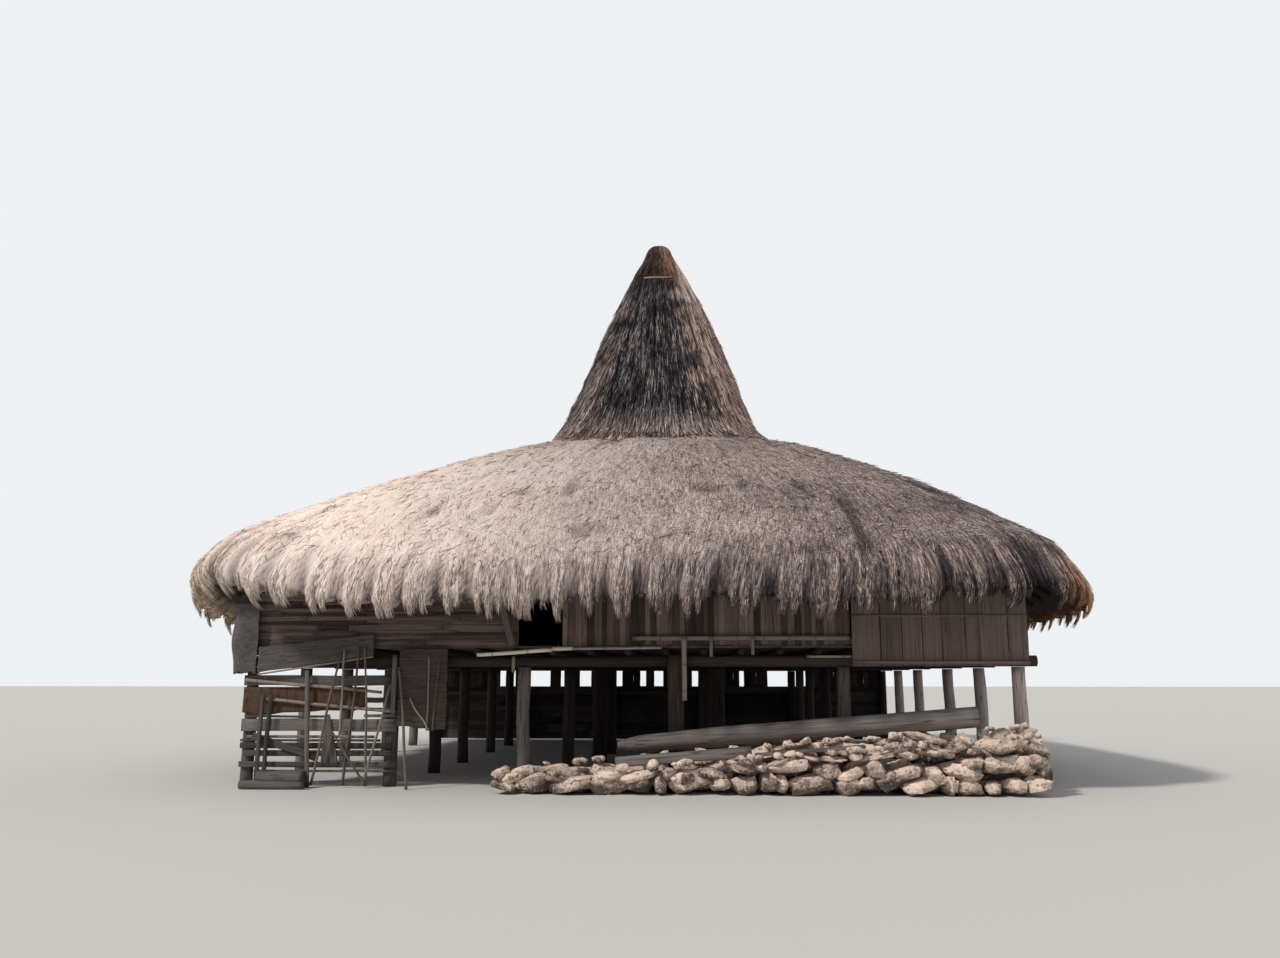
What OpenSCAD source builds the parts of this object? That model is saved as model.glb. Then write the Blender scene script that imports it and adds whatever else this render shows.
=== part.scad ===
// Stilt house with a tall thatched spire, in millimetres, +Z up.
// The origin is on the ground under the middle of the eaves, and the front looks along -Y.

/* [Plan and levels] */
// Side of the square that the eaves reach
eave_span = 14200; // [13200:20:15000]
// How far the eaves reach past the faces of the walls
eave_out = 1600; // [1500:10:1750]
// Height of the floor's walking face above the lowest ground
floor_top = 1930; // [1600:10:2300]
// Clear height of the walls, from the floor to the wall plates
wall_h = 1173; // [900:1:1500]
// Half side of the square on which the four main posts stand
main_half = 1050; // [950:5:1150]

/* [Posts and beams] */
// Diameter of the common posts
post_d = 200; // [140:5:240]
// Diameter of the tall post in the front, between two lengths of beam
tall_post_d = 230; // [180:5:250]
// Diameter of the four main posts
main_d = 280; // [220:5:320]
// Diameter of the wall studs
stud_d = 140; // [100:5:160]
// Diameter of the floor beams
beam_d = 160; // [120:5:200]
// Diameter of the floor joists
joist_d = 100; // [80:5:120]
// Thickness of the floor boards
deck_t = 30; // [20:1:45]
// How far the beams run past the corner posts
beam_out = 150; // [120:5:260]
// How far the joists run past the wall boards
joist_out = 90; // [60:5:140]

/* [Roof frame] */
// Diameter of the wall plates and of the ring that the rafters lean on
plate_d = 160; // [120:5:200]
// Diameter of the rafters
rafter_d = 90; // [60:5:110]
// Rise of the rafters from the wall plates to the ring
roof_rise = 2514; // [2200:1:2800]
// Distance between rafters
rafter_pitch = 600; // [450:10:800]
// Diameter of the leaning poles inside the spire
spire_pole_d = 110; // [80:5:140]

/* [Thatch] */
// Height of the eave's upper edge at the middle of the front
eave_z = 2630; // [2580:5:2760]
// Height of the neck, where the skirt meets the spire
neck_z = 5754; // [5700:1:5900]
// Half width of the neck
neck_half = 2078; // [1980:1:2160]
// Height of the spire's tip
tip_z = 10292; // [9400:1:11000]
// How far the thatch's fringe hangs below the eave's upper edge
fringe_drop = 510; // [420:5:560]
// Length of the batten across the spire
batten_l = 560; // [400:10:700]
// Diameter of the batten across the spire
batten_d = 50; // [30:5:70]
// Thickness of the thatch on the spire
spire_t = 330; // [240:5:360]
// Rise of the eave's edge at the corners, on average
corner_rise = 370; // [340:5:460]
// How much higher the left corners are than the right ones, by a factor of 1.4
corner_tilt = 290; // [200:5:300]
// How far the slope rounds over just before the eave's edge, in the middle of a side
eave_fall = 80; // [40:5:120]

/* [Walls] */
// Thickness of the wall boards
board_t = 30; // [20:1:45]
// Height of one horizontal board
board_h = 190; // [150:5:260]
// Width of one vertical board
board_w = 210; // [150:5:280]
// Width of the open doorway
door_w = 640; // [560:10:760]
// Diameter of the bamboo rails
bamboo_d = 70; // [50:5:90]
// Diameter of the rails of the pen
pen_rail_d = 55; // [40:5:58]
// Diameter of the sticks that lean on the pen
stick_d = 45; // [30:5:55]
// Diameter of the thin sticks on the flap and along the mat's edge
thin_d = 30; // [16:2:36]
// Diameter of the logs that lie at the foot of the pen
pen_log_d = 240; // [160:10:280]
// Thickness of the woven mats
mat_t = 25; // [15:1:40]
// Length of the corner mat along the front and along the left side
corner_mat_w = 440; // [340:10:520]
// Height of the corner mat
corner_mat_h = 1000; // [700:10:1100]
// Width of the flap beside the pen
flap_w = 710; // [500:10:760]
// How far the flap hangs below the joists
flap_h = 1080; // [800:10:1200]

/* [Stones and log] */
// Depth of the dry stone sill under the log
sill_depth = 550; // [450:10:700]
// Height of the sill at its low left end
sill_low = 317; // [250:1:380]
// Height of the sill at its high right end
sill_high = 892; // [760:1:960]
// Diameter of the log that lies on the sill
log_d = 290; // [220:5:340]

/* [Hidden] */
$fn = 24;

// Gap at which pieces that rest on each other are seated
seat = 0.3;
// Half the gap between boards that stand side by side, and how far a hole is cut past a face
hair = 2;

// Faces of the walls, and the line of the outer posts, studs and wall plates
face_of_boards = eave_span / 2 - eave_out;
back_of_boards = face_of_boards - board_t;
half = back_of_boards - stud_d / 2 - seat;

// Levels of the floor, from the post tops up
post_top = floor_top - deck_t - joist_d - beam_d - 3 * seat;
beam_z = post_top + seat + beam_d / 2;
joist_z = beam_z + beam_d / 2 + seat + joist_d / 2;
deck_z = joist_z + joist_d / 2 + seat;

// Joists lie evenly spaced, and the main posts stand in the middle of the gaps between them
joist_gaps = 20;
joist_span = 2 * (half - post_d / 2);
joist_pitch = joist_span / joist_gaps;
spire_x = joist_pitch / 2;
main_x = [spire_x - 2 * joist_pitch, spire_x + 2 * joist_pitch];

// Rows of posts: the two inner rows touch the main posts, the outer ones stand under the walls
inner_y = main_half + main_d / 2 + seat + beam_d / 2;
row_y = [-half, -(half + inner_y) / 2, -inner_y, inner_y, (half + inner_y) / 2, half];
side_x = [-half, -0.6 * half, -0.2 * half, 0.2 * half, 0.6 * half, half];
// The front posts stand unevenly, as fractions of the half span
front_x = [-half, -0.62 * half, -0.272 * half, 0.122 * half, 0.556 * half, half];

// Roof frame: rafters lean on the wall plates below and on the ring above
plate_z = floor_top + wall_h + seat + plate_d / 2;
ring_z = plate_z + roof_rise;
run_front = half - main_half;
run_left = half + main_x[0];
run_right = half - main_x[1];
lean_front = atan2(roof_rise, run_front);
lean_left = atan2(roof_rise, run_left);
lean_right = atan2(roof_rise, run_right);
// Offsets square to the slope, from the plate's axis to the rafter's axis and to the thatch
to_rafter = plate_d / 2 + rafter_d / 2 + seat;
to_thatch = to_rafter + rafter_d / 2 + seat;

// Thatch: the plan is a rounded square, rounder at the neck than at the eaves
eave_half = eave_span / 2;
eave_round = 4.45;
neck_round = 3.59;
skirt_bow = 1.27;
skirt_bow_side = 0.09;
corner_power = 12;
corner_fall = 140;
corner_fall_tilt = 100;
side_rise = 60;
spire_bow = 0.693;
spire_flare = 0.065;
flare_reach = 0.12;
tip_half = 120;
side_columns = 24;
skirt_rows = 9;
brow = 0.95;
short_clump = 0.78;
clump_hollow = 0.012;
course_swell = 20;
inner_reach = 0.94;
hip_lift = 30;
spire_rows = 14;
cap_row = 13;
shaft = 150;
slit = 0.012;

// Radius of a rounded square at an angle
function rounded(angle, reach, power) =
    reach / pow(pow(abs(cos(angle)), power) + pow(abs(sin(angle)), power), 1 / power);
// Point of the skirt's plan, where s runs from the neck at 0 to the eave at 1
function skirt_r(angle, s) =
    rounded(angle, neck_half, neck_round) * (1 - s) + rounded(angle, eave_half, eave_round) * s;
function skirt_xy(angle, s) = [
    skirt_r(angle, s) * cos(angle) + spire_x * (1 - s),
    skirt_r(angle, s) * sin(angle)
];
// Share of a corner at an angle: 1 on the hips, and soon 0 beside them
function corner(angle) = pow(abs(sin(2 * angle)), corner_power);
// Height of the eave's edge, and how far the slope rounds over just before it
function rim_z(angle) =
    eave_z + side_rise * cos(angle) + corner(angle) * (corner_rise - corner_tilt * cos(angle));
function fall(angle) = eave_fall + corner(angle) * (corner_fall + corner_fall_tilt * cos(angle));
// Height of the thatch's outer face
function skirt_z(angle, s) =
    neck_z - (neck_z - rim_z(angle) - fall(angle)) * pow(s, skirt_bow + skirt_bow_side * cos(angle))
    - (s == 1 ? fall(angle) : 0);
// Rows of the outer face: evenly spaced, then one on the brow and one on the edge
function outer_share(row) =
    row == skirt_rows ? 1 : row == skirt_rows - 1 ? brow : row / (skirt_rows - 1);
// Height of the plane on the rafters' backs, a distance in from the plate's line
function plane_z(inward, lean) = plate_z + to_thatch / cos(lean) + inward * tan(lean);
// Inner face of the thatch lies on the plane of its own side, and is lifted a little at the hips
function side_plane(side, p) =
    side == 0 ? plane_z(half - p.x, lean_right) :
    side == 1 ? plane_z(half - p.y, lean_front) :
    side == 2 ? plane_z(half + p.x, lean_left) :
    plane_z(half + p.y, lean_front);

// Fringe: each point's share of the reach, and of the way down that the straw hangs
fringe_profile = [[1, 0.4], [0.985, 0.9], [0.965, 1], [0.95, 0.7]];
// Clumps and the hollows between them take turns along the eave: a hollow is shorter and drawn in
function hollow(column) = column % 2 == 1 ? 1 : 0;
function drawn_in(column, s) = s < brow ? 1 : 1 - clump_hollow * hollow(column);
// Closed section of the skirt at one column: over the top, round the fringe, back inside.
// It has as many points inside as outside, so that its ends close as a ladder.
function skirt_section(side, column) =
    let (angle = 90 * side - 45 + 90 * column / side_columns,
         hip = column == 0 || column == side_columns,
         other = column == 0 ? (side + 3) % 4 : (side + 1) % 4,
         drop = fringe_drop * (1 - (1 - short_clump) * hollow(column)))
    concat(
        [for (row = [0:skirt_rows])
            let (s = outer_share(row), p = skirt_xy(angle, s) * drawn_in(column, s))
            [p.x, p.y, skirt_z(angle, s)]],
        [for (f = fringe_profile) let (p = skirt_xy(angle, f[0]) * drawn_in(column, f[0]))
            [p.x, p.y, rim_z(angle) - f[1] * drop]],
        [for (row = [skirt_rows:-1:0]) let (p = skirt_xy(angle, inner_reach * row / skirt_rows))
            [p.x, p.y, hip ? max(side_plane(side, p), side_plane(other, p)) + hip_lift
                : side_plane(side, p)]]
    );

// Half width of the spire at a share of its height, as a share of the neck's
function spire_share(s) =
    (tip_half + (neck_half - tip_half) * pow(1 - s, spire_bow)) / neck_half
    + spire_flare * (exp(-s / flare_reach) - 1);
function neck_xy(angle, reach) = [
    rounded(angle, reach, neck_round) * cos(angle) + spire_x,
    rounded(angle, reach, neck_round) * sin(angle)
];
// Height of a row of the spire
function row_z(row) = neck_z + (tip_z - neck_z) * row / spire_rows;
// Reach of a row: courses of hanging straw swell at every second row
function row_reach(row) = neck_half * spire_share(row / spire_rows)
    + (row == 0 || row == cap_row ? 0 : row % 2 == 1 ? course_swell : -course_swell);
// Closed section of one side of the spire: up the outside to the cap's row, then down the inside
function spire_section(side, column) =
    let (angle = 90 * side - 45 + 90 * column / side_columns,
         skirt = skirt_section(side, column),
         foot_z = skirt[len(skirt) - 1].z,
         foot = neck_xy(angle, neck_half - seat),
         low = neck_xy(angle, neck_half - spire_t))
    concat(
        [[foot.x, foot.y, foot_z]],
        [for (row = [0:cap_row]) let (p = neck_xy(angle, row_reach(row) - seat))
            [p.x, p.y, row_z(row)]],
        [for (row = [cap_row:-1:1])
            let (p = neck_xy(angle, max(neck_half * spire_share(row / spire_rows) - spire_t, shaft)))
            [p.x, p.y, row_z(row)]],
        [[low.x, low.y, neck_z],
         [low.x, low.y, max(foot_z, side_plane(side, low)) + hip_lift]]
    );
// A section a small share of the way to the next one, so that two sides don't touch at the hip
function between(a, b, share) = [for (i = [0:len(a) - 1]) a[i] * (1 - share) + b[i] * share];

// Skin over a row of closed sections, capped at both ends
module skin_capped(sections) {
    n = len(sections[0]);
    m = len(sections);
    points = [for (section = sections) each section];
    sides = [for (i = [0:m - 2]) for (k = [0:n - 1]) let (j = (k + 1) % n)
        each [[i * n + k, (i + 1) * n + k, (i + 1) * n + j],
              [i * n + k, (i + 1) * n + j, i * n + j]]];
    last = (m - 1) * n;
    caps = [for (k = [0:n / 2 - 2])
        each [[k, k + 1, n - 2 - k], [k, n - 2 - k, n - 1 - k],
              [last + k, last + n - 2 - k, last + k + 1], [last + k, last + n - 1 - k, last + n - 2 - k]]];
    polyhedron(points, concat(sides, caps), convexity = 6);
}

// Closed skin over a stack of level rings, with a point in the middle of its foot and of its top
module skin_stack(rings, foot, top) {
    n = len(rings[0]);
    last = len(rings) * n;
    points = concat([for (ring = rings) each ring], [foot, top]);
    sides = [for (i = [0:len(rings) - 2]) for (k = [0:n - 1]) let (j = (k + 1) % n)
        each [[i * n + k, (i + 1) * n + k, (i + 1) * n + j],
              [i * n + k, (i + 1) * n + j, i * n + j]]];
    ends = [for (k = [0:n - 1]) let (j = (k + 1) % n)
        each [[last, k, j], [last + 1, last - n + j, last - n + k]]];
    polyhedron(points, concat(sides, ends), convexity = 4);
}

// Round pole between two points
module pole(a, b, d) {
    v = b - a;
    translate(a) rotate([0, acos(v.z / norm(v)), atan2(v.y, v.x)]) cylinder(h = norm(v), d = d);
}

// Board between two corners
module board(low, high) {
    translate(low) cube(high - low);
}

// Flat sheet that stands along the front: its corners are X and Z, its face is at y
module sheet(corners, y, t) {
    translate([0, y + t, 0]) rotate([90, 0, 0]) linear_extrude(t) polygon(corners);
}

// Slat of one width between a foot and a head along the front
module slat(foot, head, w, y, t) {
    across = [w / 2, 0];
    sheet([foot - across, foot + across, head + across, head - across], y, t);
}

// Upright posts from the ground at each x and y
module posts(xs, ys, top, d) {
    for (x = xs) for (y = ys) translate([x, y, 0]) cylinder(h = top, d = d);
}

// The tall post rises between two lengths of the front beam
module front_posts() {
    color("#6b6156") {
        posts([for (i = [0, 1, 2, 4, 5]) front_x[i]], [-half], post_top, post_d);
        posts([front_x[3]], [-half], joist_z - joist_d / 2 - seat, tall_post_d);
    }
}

module back_posts() {
    color("#6b6156") posts(side_x, [half], post_top, post_d);
}

module left_posts() {
    color("#6b6156") posts([-half], [for (i = [1:4]) row_y[i]], post_top, post_d);
}

module right_posts() {
    color("#6b6156") posts([half], [for (i = [1:4]) row_y[i]], post_top, post_d);
}

module inner_posts() {
    color("#5f564c") {
        posts([for (i = [1:4]) side_x[i]], [row_y[1], row_y[4]], post_top, post_d);
        posts([side_x[1], side_x[4]], [row_y[2], row_y[3]], post_top, post_d);
    }
}

module main_posts() {
    color("#5a4f44") posts(main_x, [-main_half, main_half], ring_z - plate_d / 2 - seat, main_d);
}

module floor_beams() {
    reach = half + post_d / 2 + beam_out;
    beside = tall_post_d / 2 + seat;
    color("#7a6f62") {
        for (i = [1:5]) pole([-reach, row_y[i], beam_z], [reach, row_y[i], beam_z], beam_d);
        pole([-reach, row_y[0], beam_z], [front_x[3] - beside, row_y[0], beam_z], beam_d);
        pole([front_x[3] + beside, row_y[0], beam_z], [reach, row_y[0], beam_z], beam_d);
    }
}

module floor_joists() {
    reach = face_of_boards + joist_out;
    color("#857a6a") for (i = [0:joist_gaps])
        let (x = -joist_span / 2 + i * joist_pitch)
        pole([x, -reach, joist_z], [x, reach, joist_z], joist_d);
}

// Floor boards run along the front, with holes for the main posts
module floor_deck() {
    boards = 22;
    gap = 10;
    pitch = 2 * face_of_boards / boards;
    color("#8c8171") difference() {
        for (i = [0:boards - 1])
            translate([-face_of_boards, -face_of_boards + i * pitch + gap / 2, deck_z])
                cube([2 * face_of_boards, pitch - gap, deck_t]);
        for (x = main_x) for (y = [-main_half, main_half])
            translate([x, y, deck_z - hair]) cylinder(h = deck_t + 2 * hair, d = main_d + 2 * gap);
    }
}

// Edges of the front wall, from the left corner to the right one
door_left = front_x[2] - post_d / 2;
door_right = door_left + door_w;
panel_left = front_x[4] + post_d / 2;
left_boards_end = front_x[1] + post_d;
wall_top = floor_top + wall_h;
jamb_d = 0.8 * stud_d;

// Row of upright boards along X, a hair apart
module upright_boards(x0, x1, y, z0, z1, t) {
    n = max(1, round((x1 - x0) / board_w));
    w = (x1 - x0) / n;
    for (i = [0:n - 1]) board([x0 + i * w + hair, y, z0], [x0 + (i + 1) * w - hair, y + t, z1]);
}

// Planks hung over the joists' ends, with a batten across them and a lath along their foot
module front_wall_right() {
    drop = beam_d + joist_d;
    batten_t = 0.6 * board_t;
    y = -face_of_boards - joist_out - seat - board_t;
    front = y - seat - batten_t;
    foot = deck_z - drop;
    middle = floor_top + wall_h / 3;
    color("#8a7c68") {
        upright_boards(panel_left, face_of_boards, y, foot, wall_top, board_t);
        board([panel_left, y + board_t + seat, floor_top + seat],
              [face_of_boards, -face_of_boards, floor_top + joist_d]);
        board([panel_left, front, middle], [face_of_boards, front + batten_t, middle + joist_d / 3]);
        board([panel_left, front, foot + joist_d / 3],
              [face_of_boards, front + batten_t, foot + 0.8 * joist_d]);
    }
}

module front_wall_middle() {
    color("#6f6252")
        upright_boards(door_right, panel_left, -face_of_boards, deck_z + deck_t + seat, wall_top, board_t);
}

module lying_boards(x0, x1, y, z0, z1, t) {
    n = max(1, round((z1 - z0) / board_h));
    h = (z1 - z0) / n;
    for (i = [0:n - 1]) board([x0, y, z0 + i * h + hair], [x1, y + t, z0 + (i + 1) * h - hair]);
}

module front_wall_left() {
    color("#74675a")
        lying_boards(-face_of_boards, door_left, -face_of_boards, deck_z + deck_t + seat, wall_top, board_t);
}

module back_wall() {
    color("#6f6252")
        upright_boards(-face_of_boards, face_of_boards, back_of_boards,
                       deck_z + deck_t + seat, wall_top, board_t);
}

// Side walls stand between the front and the back boards
module side_wall(x) {
    n = round((2 * back_of_boards) / board_w);
    w = 2 * (back_of_boards - seat) / n;
    for (i = [0:n - 1])
        board([x, -back_of_boards + seat + i * w + hair, deck_z + deck_t + seat],
              [x + board_t, -back_of_boards + seat + (i + 1) * w - hair, wall_top]);
}

module left_wall() {
    color("#74675a") side_wall(-face_of_boards);
}

module right_wall() {
    color("#74675a") side_wall(back_of_boards);
}

// Studs stand on the floor and carry the wall plates; the doorway stays clear
module wall_studs() {
    color("#6b6156") {
        z = deck_z + deck_t + seat;
        h = wall_top - z;
        for (x = side_x) translate([x, half, z]) cylinder(h = h, d = stud_d);
        for (x = [front_x[0], front_x[1], door_left - stud_d / 2, door_right + stud_d / 2,
                  front_x[3], front_x[4], front_x[5]])
            translate([x, -half, z]) cylinder(h = h, d = stud_d);
        for (x = [-half, half]) for (i = [1:4])
            translate([x, row_y[i], z]) cylinder(h = h, d = stud_d);
        jamb();
    }
}

// Slanting jamb in front of the boards, left of the doorway, with its foot on a joist
module jamb() {
    y = -face_of_boards - seat - jamb_d / 2;
    lean = 0.27;
    foot_z = joist_z + joist_d / 2 + lean * jamb_d;
    head_z = wall_top - jamb_d / 2;
    foot_x = door_left - jamb_d / 2;
    pole([foot_x, y, foot_z], [foot_x - lean * (head_z - foot_z), y, head_z], jamb_d);
}

module wall_plates() {
    reach = half + plate_d;
    color("#7a6f62") {
        for (y = [-half, half]) pole([-reach, y, plate_z], [reach, y, plate_z], plate_d);
        for (x = [-half, half])
            pole([x, -half + plate_d / 2 + seat, plate_z], [x, half - plate_d / 2 - seat, plate_z], plate_d);
    }
}

// Where a rafter's tip ends, just inside the fringe, at a distance across its side
function tip_reach(across) =
    let (reach = 0.92 * eave_half)
    reach * pow(1 - pow(min(abs(across) / reach, 0.999), eave_round), 1 / eave_round);
// Where a rafter's head ends: past the ring, or just short of the hip
hip_gap = 1.75 * rafter_d;
head_past = 1.2 * rafter_d;
function head_front(x) =
    x > main_x[1] - hip_gap ? main_half + max(0, x - main_x[1]) * run_front / run_right + hip_gap :
    x < main_x[0] + hip_gap ? main_half + max(0, main_x[0] - x) * run_front / run_left + hip_gap :
    main_half - head_past;
function head_side(y, run, ring) =
    abs(y) > main_half - hip_gap
        ? ring + max(0, abs(y) - main_half) * run / run_front + hip_gap
        : ring - head_past;
// Height of a rafter's axis, a distance in from the plate's line
function axis_z(inward, lean) = plate_z + to_rafter / cos(lean) + inward * tan(lean);

module front_rafter(x, way) {
    head = head_front(x);
    tip = tip_reach(x);
    if (tip > head + rafter_d)
        pole([x, way * head, axis_z(half - head, lean_front)],
             [x, way * tip, axis_z(half - tip, lean_front)], rafter_d);
}

module side_rafter(y, way, lean, run, ring) {
    head = head_side(y, run, ring);
    tip = tip_reach(y);
    if (tip > head + rafter_d)
        pole([way * head, y, axis_z(half - head, lean)],
             [way * tip, y, axis_z(half - tip, lean)], rafter_d);
}

rafters_each_way = floor((half - rafter_d) / rafter_pitch - 0.5);
rafter_at = [for (i = [-rafters_each_way - 1:rafters_each_way]) (i + 0.5) * rafter_pitch];

module front_rafters() {
    color("#8a7b66") for (x = rafter_at) front_rafter(x, -1);
}

module back_rafters() {
    color("#8a7b66") for (x = rafter_at) front_rafter(x, 1);
}

module left_rafters() {
    color("#8a7b66") for (y = rafter_at) side_rafter(y, -1, lean_left, run_left, -main_x[0]);
}

module right_rafters() {
    color("#8a7b66") for (y = rafter_at) side_rafter(y, 1, lean_right, run_right, main_x[1]);
}

// Hips run from the ring's corners over the plates' corners, and rest on the beams along X
module hip_rafters() {
    lift = to_rafter / cos(lean_front);
    past = 0.03;
    color("#8a7b66") for (way = [-1, 1]) for (x = main_x) {
        corner = [sign(x) * half, way * half, plate_z + lift];
        ring = [x, way * main_half, ring_z + lift];
        pole(ring, corner + past * (corner - ring), rafter_d);
    }
}

// Ring of four beams on the main posts
module rafter_ring() {
    color("#6b6156") {
        for (way = [-1, 1])
            pole([main_x[0] - plate_d, way * main_half, ring_z],
                 [main_x[1] + plate_d, way * main_half, ring_z], plate_d);
        for (x = main_x)
            pole([x, -main_half + plate_d / 2 + seat, ring_z],
                 [x, main_half - plate_d / 2 - seat, ring_z], plate_d);
    }
}

// Leaning poles are tied inside the rafter ring below and outside a smaller ring near the top
spire_ring_share = 0.62;
spire_ring_z = neck_z + spire_ring_share * (tip_z - neck_z);
spire_ring_half = 0.6 * (neck_half * spire_share(spire_ring_share) - spire_t);
spire_pole_run = main_half - spire_ring_half - plate_d / 2 - 1.5 * spire_pole_d;
spire_lean = atan2(spire_pole_run, spire_ring_z - ring_z);
pole_low_y = main_half - (plate_d / 2 + spire_pole_d / 2 + seat) / cos(spire_lean);
pole_high_y = spire_ring_half + (spire_pole_d + seat) / cos(spire_lean);

module spire_poles() {
    below = 150;
    above = 80;
    slope = (pole_low_y - pole_high_y) / (spire_ring_z - ring_z);
    color("#6b6156") for (way = [-1, 1]) for (x = [0, rafter_pitch])
        pole([x, way * (pole_low_y + slope * below), ring_z - below],
             [x, way * (pole_high_y - slope * above), spire_ring_z + above], spire_pole_d);
}

module spire_ring() {
    reach = spire_ring_half + spire_pole_d;
    color("#6b6156") translate([spire_x, 0, spire_ring_z]) {
        for (way = [-1, 1]) pole([-reach, way * spire_ring_half, 0], [reach, way * spire_ring_half, 0],
                                 spire_pole_d);
        for (way = [-1, 1]) let (butt = spire_ring_half - spire_pole_d / 2 - seat)
            pole([way * spire_ring_half, -butt, 0], [way * spire_ring_half, butt, 0], spire_pole_d);
    }
}

module thatch_side(side) {
    skin_capped([for (column = [0:side_columns]) skirt_section(side, column)]);
}

module front_thatch() {
    color("#a3988a") thatch_side(3);
}

module right_thatch() {
    color("#8f8376") thatch_side(0);
}

module back_thatch() {
    color("#a3988a") thatch_side(1);
}

module left_thatch() {
    color("#b3a896") thatch_side(2);
}

// Dome of the cap: each ring's height and reach, as shares of the cap's height and foot
cap_rings = [[0, 1], [0.4, 0.8], [0.72, 0.5], [0.92, 0.23]];

// Four sides with a hair between them, and a rounded cap on top
module spire_thatch() {
    color("#7d7268") {
        for (side = [0:3]) {
            sections = [for (column = [0:side_columns]) spire_section(side, column)];
            skin_capped([for (column = [side_columns:-1:0])
                column == 0 ? between(sections[0], sections[1], slit) :
                column == side_columns ? between(sections[column], sections[column - 1], slit) :
                sections[column]]);
        }
        foot = row_z(cap_row) + seat;
        reach = row_reach(cap_row);
        skin_stack(
            [for (ring = cap_rings) [for (i = [0:4 * side_columns - 1])
                let (p = neck_xy(90 * i / side_columns, reach * ring[1]))
                [p.x, p.y, foot + (tip_z - foot) * ring[0]]]],
            [spire_x, 0, foot], [spire_x, 0, tip_z]);
    }
}

// A batten is tied across the front of the spire, level with a row of the thatch
module spire_batten() {
    row = 11;
    w = row_reach(row);
    w_below = row_reach(row - 1);
    z = row_z(row);
    y = -w - (batten_d / 2 + seat) / cos(atan2(w_below - w, z - row_z(row - 1)));
    color("#c9bda6") pole([spire_x - batten_l / 2, y, z], [spire_x + batten_l / 2, y, z], batten_d);
}

// Bamboo rail along the foot of the front wall, with a pole and two stubs that hang from it,
// and a stub beside the doorway's post
module front_rail() {
    z = floor_top + 1.5 * bamboo_d;
    y = -face_of_boards - bamboo_d / 2 - seat;
    stub_d = 0.7 * bamboo_d;
    stub_y = y - bamboo_d / 2 - seat - stub_d / 2;
    post = front_x[3];
    color("#b3a488") {
        pole([post - 0.11 * half, y, z], [panel_left - door_w / 64, y, z], bamboo_d);
        translate([post + 0.57 * tall_post_d, y - bamboo_d - seat, z - 0.73 * wall_h])
            cylinder(h = 0.75 * wall_h, d = bamboo_d);
        translate([post + 2.2 * tall_post_d, stub_y, z - 0.22 * wall_h])
            cylinder(h = 0.23 * wall_h, d = stub_d);
        translate([post + 4.7 * tall_post_d, stub_y, z - 0.2 * wall_h])
            cylinder(h = 0.21 * wall_h, d = stub_d);
        translate([front_x[2] - post_d / 2 - stub_d, -half - beam_d / 2 - seat - stub_d / 2, beam_z - beam_d])
            cylinder(h = 1.4 * beam_d, d = stub_d);
    }
}

// Bleached poles tied along the joists' ends, and one under them beside the panel
module ledge_poles() {
    d = 0.8 * bamboo_d;
    y = -face_of_boards - joist_out - seat - d / 2;
    low = joist_z - joist_d / 2 + d / 10;
    high = joist_z + joist_d / 2;
    butt = -2 * joist_pitch;
    lath_d = 0.55 * bamboo_d;
    lath_z = joist_z - joist_d / 2 - seat - lath_d / 2;
    color("#d8cdb8") {
        pole([front_x[2] - 0.12 * half, y, low], [butt - 2 * seat, y, high - d / 2], d);
        pole([butt + 2 * seat, y, high - d / 4], [0.9 * joist_pitch, y, high], d);
        pole([4.7 * joist_pitch, -half - beam_d / 2 - seat - lath_d / 2, lath_z],
             [panel_left + post_d / 3, -half - beam_d / 2 - seat - lath_d / 2, lath_z], lath_d);
    }
}

// Pen between the two left posts. Its layers stand one before another: boards on the posts,
// rails on the boards, uprights and mats, and sticks that lean on them.
pen_left = -face_of_boards + board_t;
pen_right = front_x[1] + post_d / 2;
board_y = -half - post_d / 2 - seat - board_t;
rail_y = board_y - seat - pen_rail_d / 2;
brace_y = board_y - seat - board_t;
mat_y = -face_of_boards - joist_out - seat - mat_t;
stick_y = mat_y - seat - stick_d / 2;

// A place on the pen: shares of its width and of the posts' height
function pen(u, v) = [pen_left + u * (pen_right - pen_left), v * post_top];

module pen_planks() {
    upright_t = rail_y - pen_rail_d / 2 - seat - mat_y;
    log_y = mat_y - seat - pen_log_d / 2;
    small_y = log_y - sqrt(pow(0.75 * pen_log_d + seat, 2) - pow(pen_log_d / 4, 2));
    color("#776b5d") {
        for (v = [[0.16, 0.207], [0.25, 0.3], [0.315, 0.365], [0.458, 0.561], [0.842, 0.93]])
            sheet([pen(0, v[0]), pen(1, v[0]), pen(1, v[1]), pen(0, v[1])], board_y, board_t);
        slat(pen(0.08, 0.42), pen(0.5, 0.24), board_h / 2, brace_y, board_t);
        sheet([pen(0.52, 0.17), pen(0.65, 0.17), pen(0.57, 0.6), pen(0.55, 0.6)], brace_y, board_t);
        for (u = [0.13, 0.18]) slat(pen(u, 0), pen(u, 0.76), board_h / 3, mat_y, upright_t);
        slat(pen(0.46, 0), pen(0.42, 0.97), board_h / 3, mat_y, upright_t);
        slat([front_x[1] + 0.3 * post_d, 0.6 * post_top], [front_x[1] + 0.3 * post_d, 1.1 * post_top],
             board_h / 3, mat_y, upright_t);
        translate([pen(0.17, 0).x, log_y, pen_log_d / 2])
            rotate([0, 90, 0]) cylinder(h = pen(0.46, 0).x - pen(0.17, 0).x, d = pen_log_d);
        translate([pen(0.09, 0).x, small_y, pen_log_d / 4])
            rotate([0, 90, 0]) cylinder(h = pen(0.49, 0).x - pen(0.09, 0).x, d = pen_log_d / 2);
    }
}

module bark_panel() {
    color("#5e4a3a")
        sheet([pen(0, 0.6), pen(0.8, 0.65), pen(0.8, 0.83), pen(0, 0.83)], board_y, board_t);
}

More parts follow.
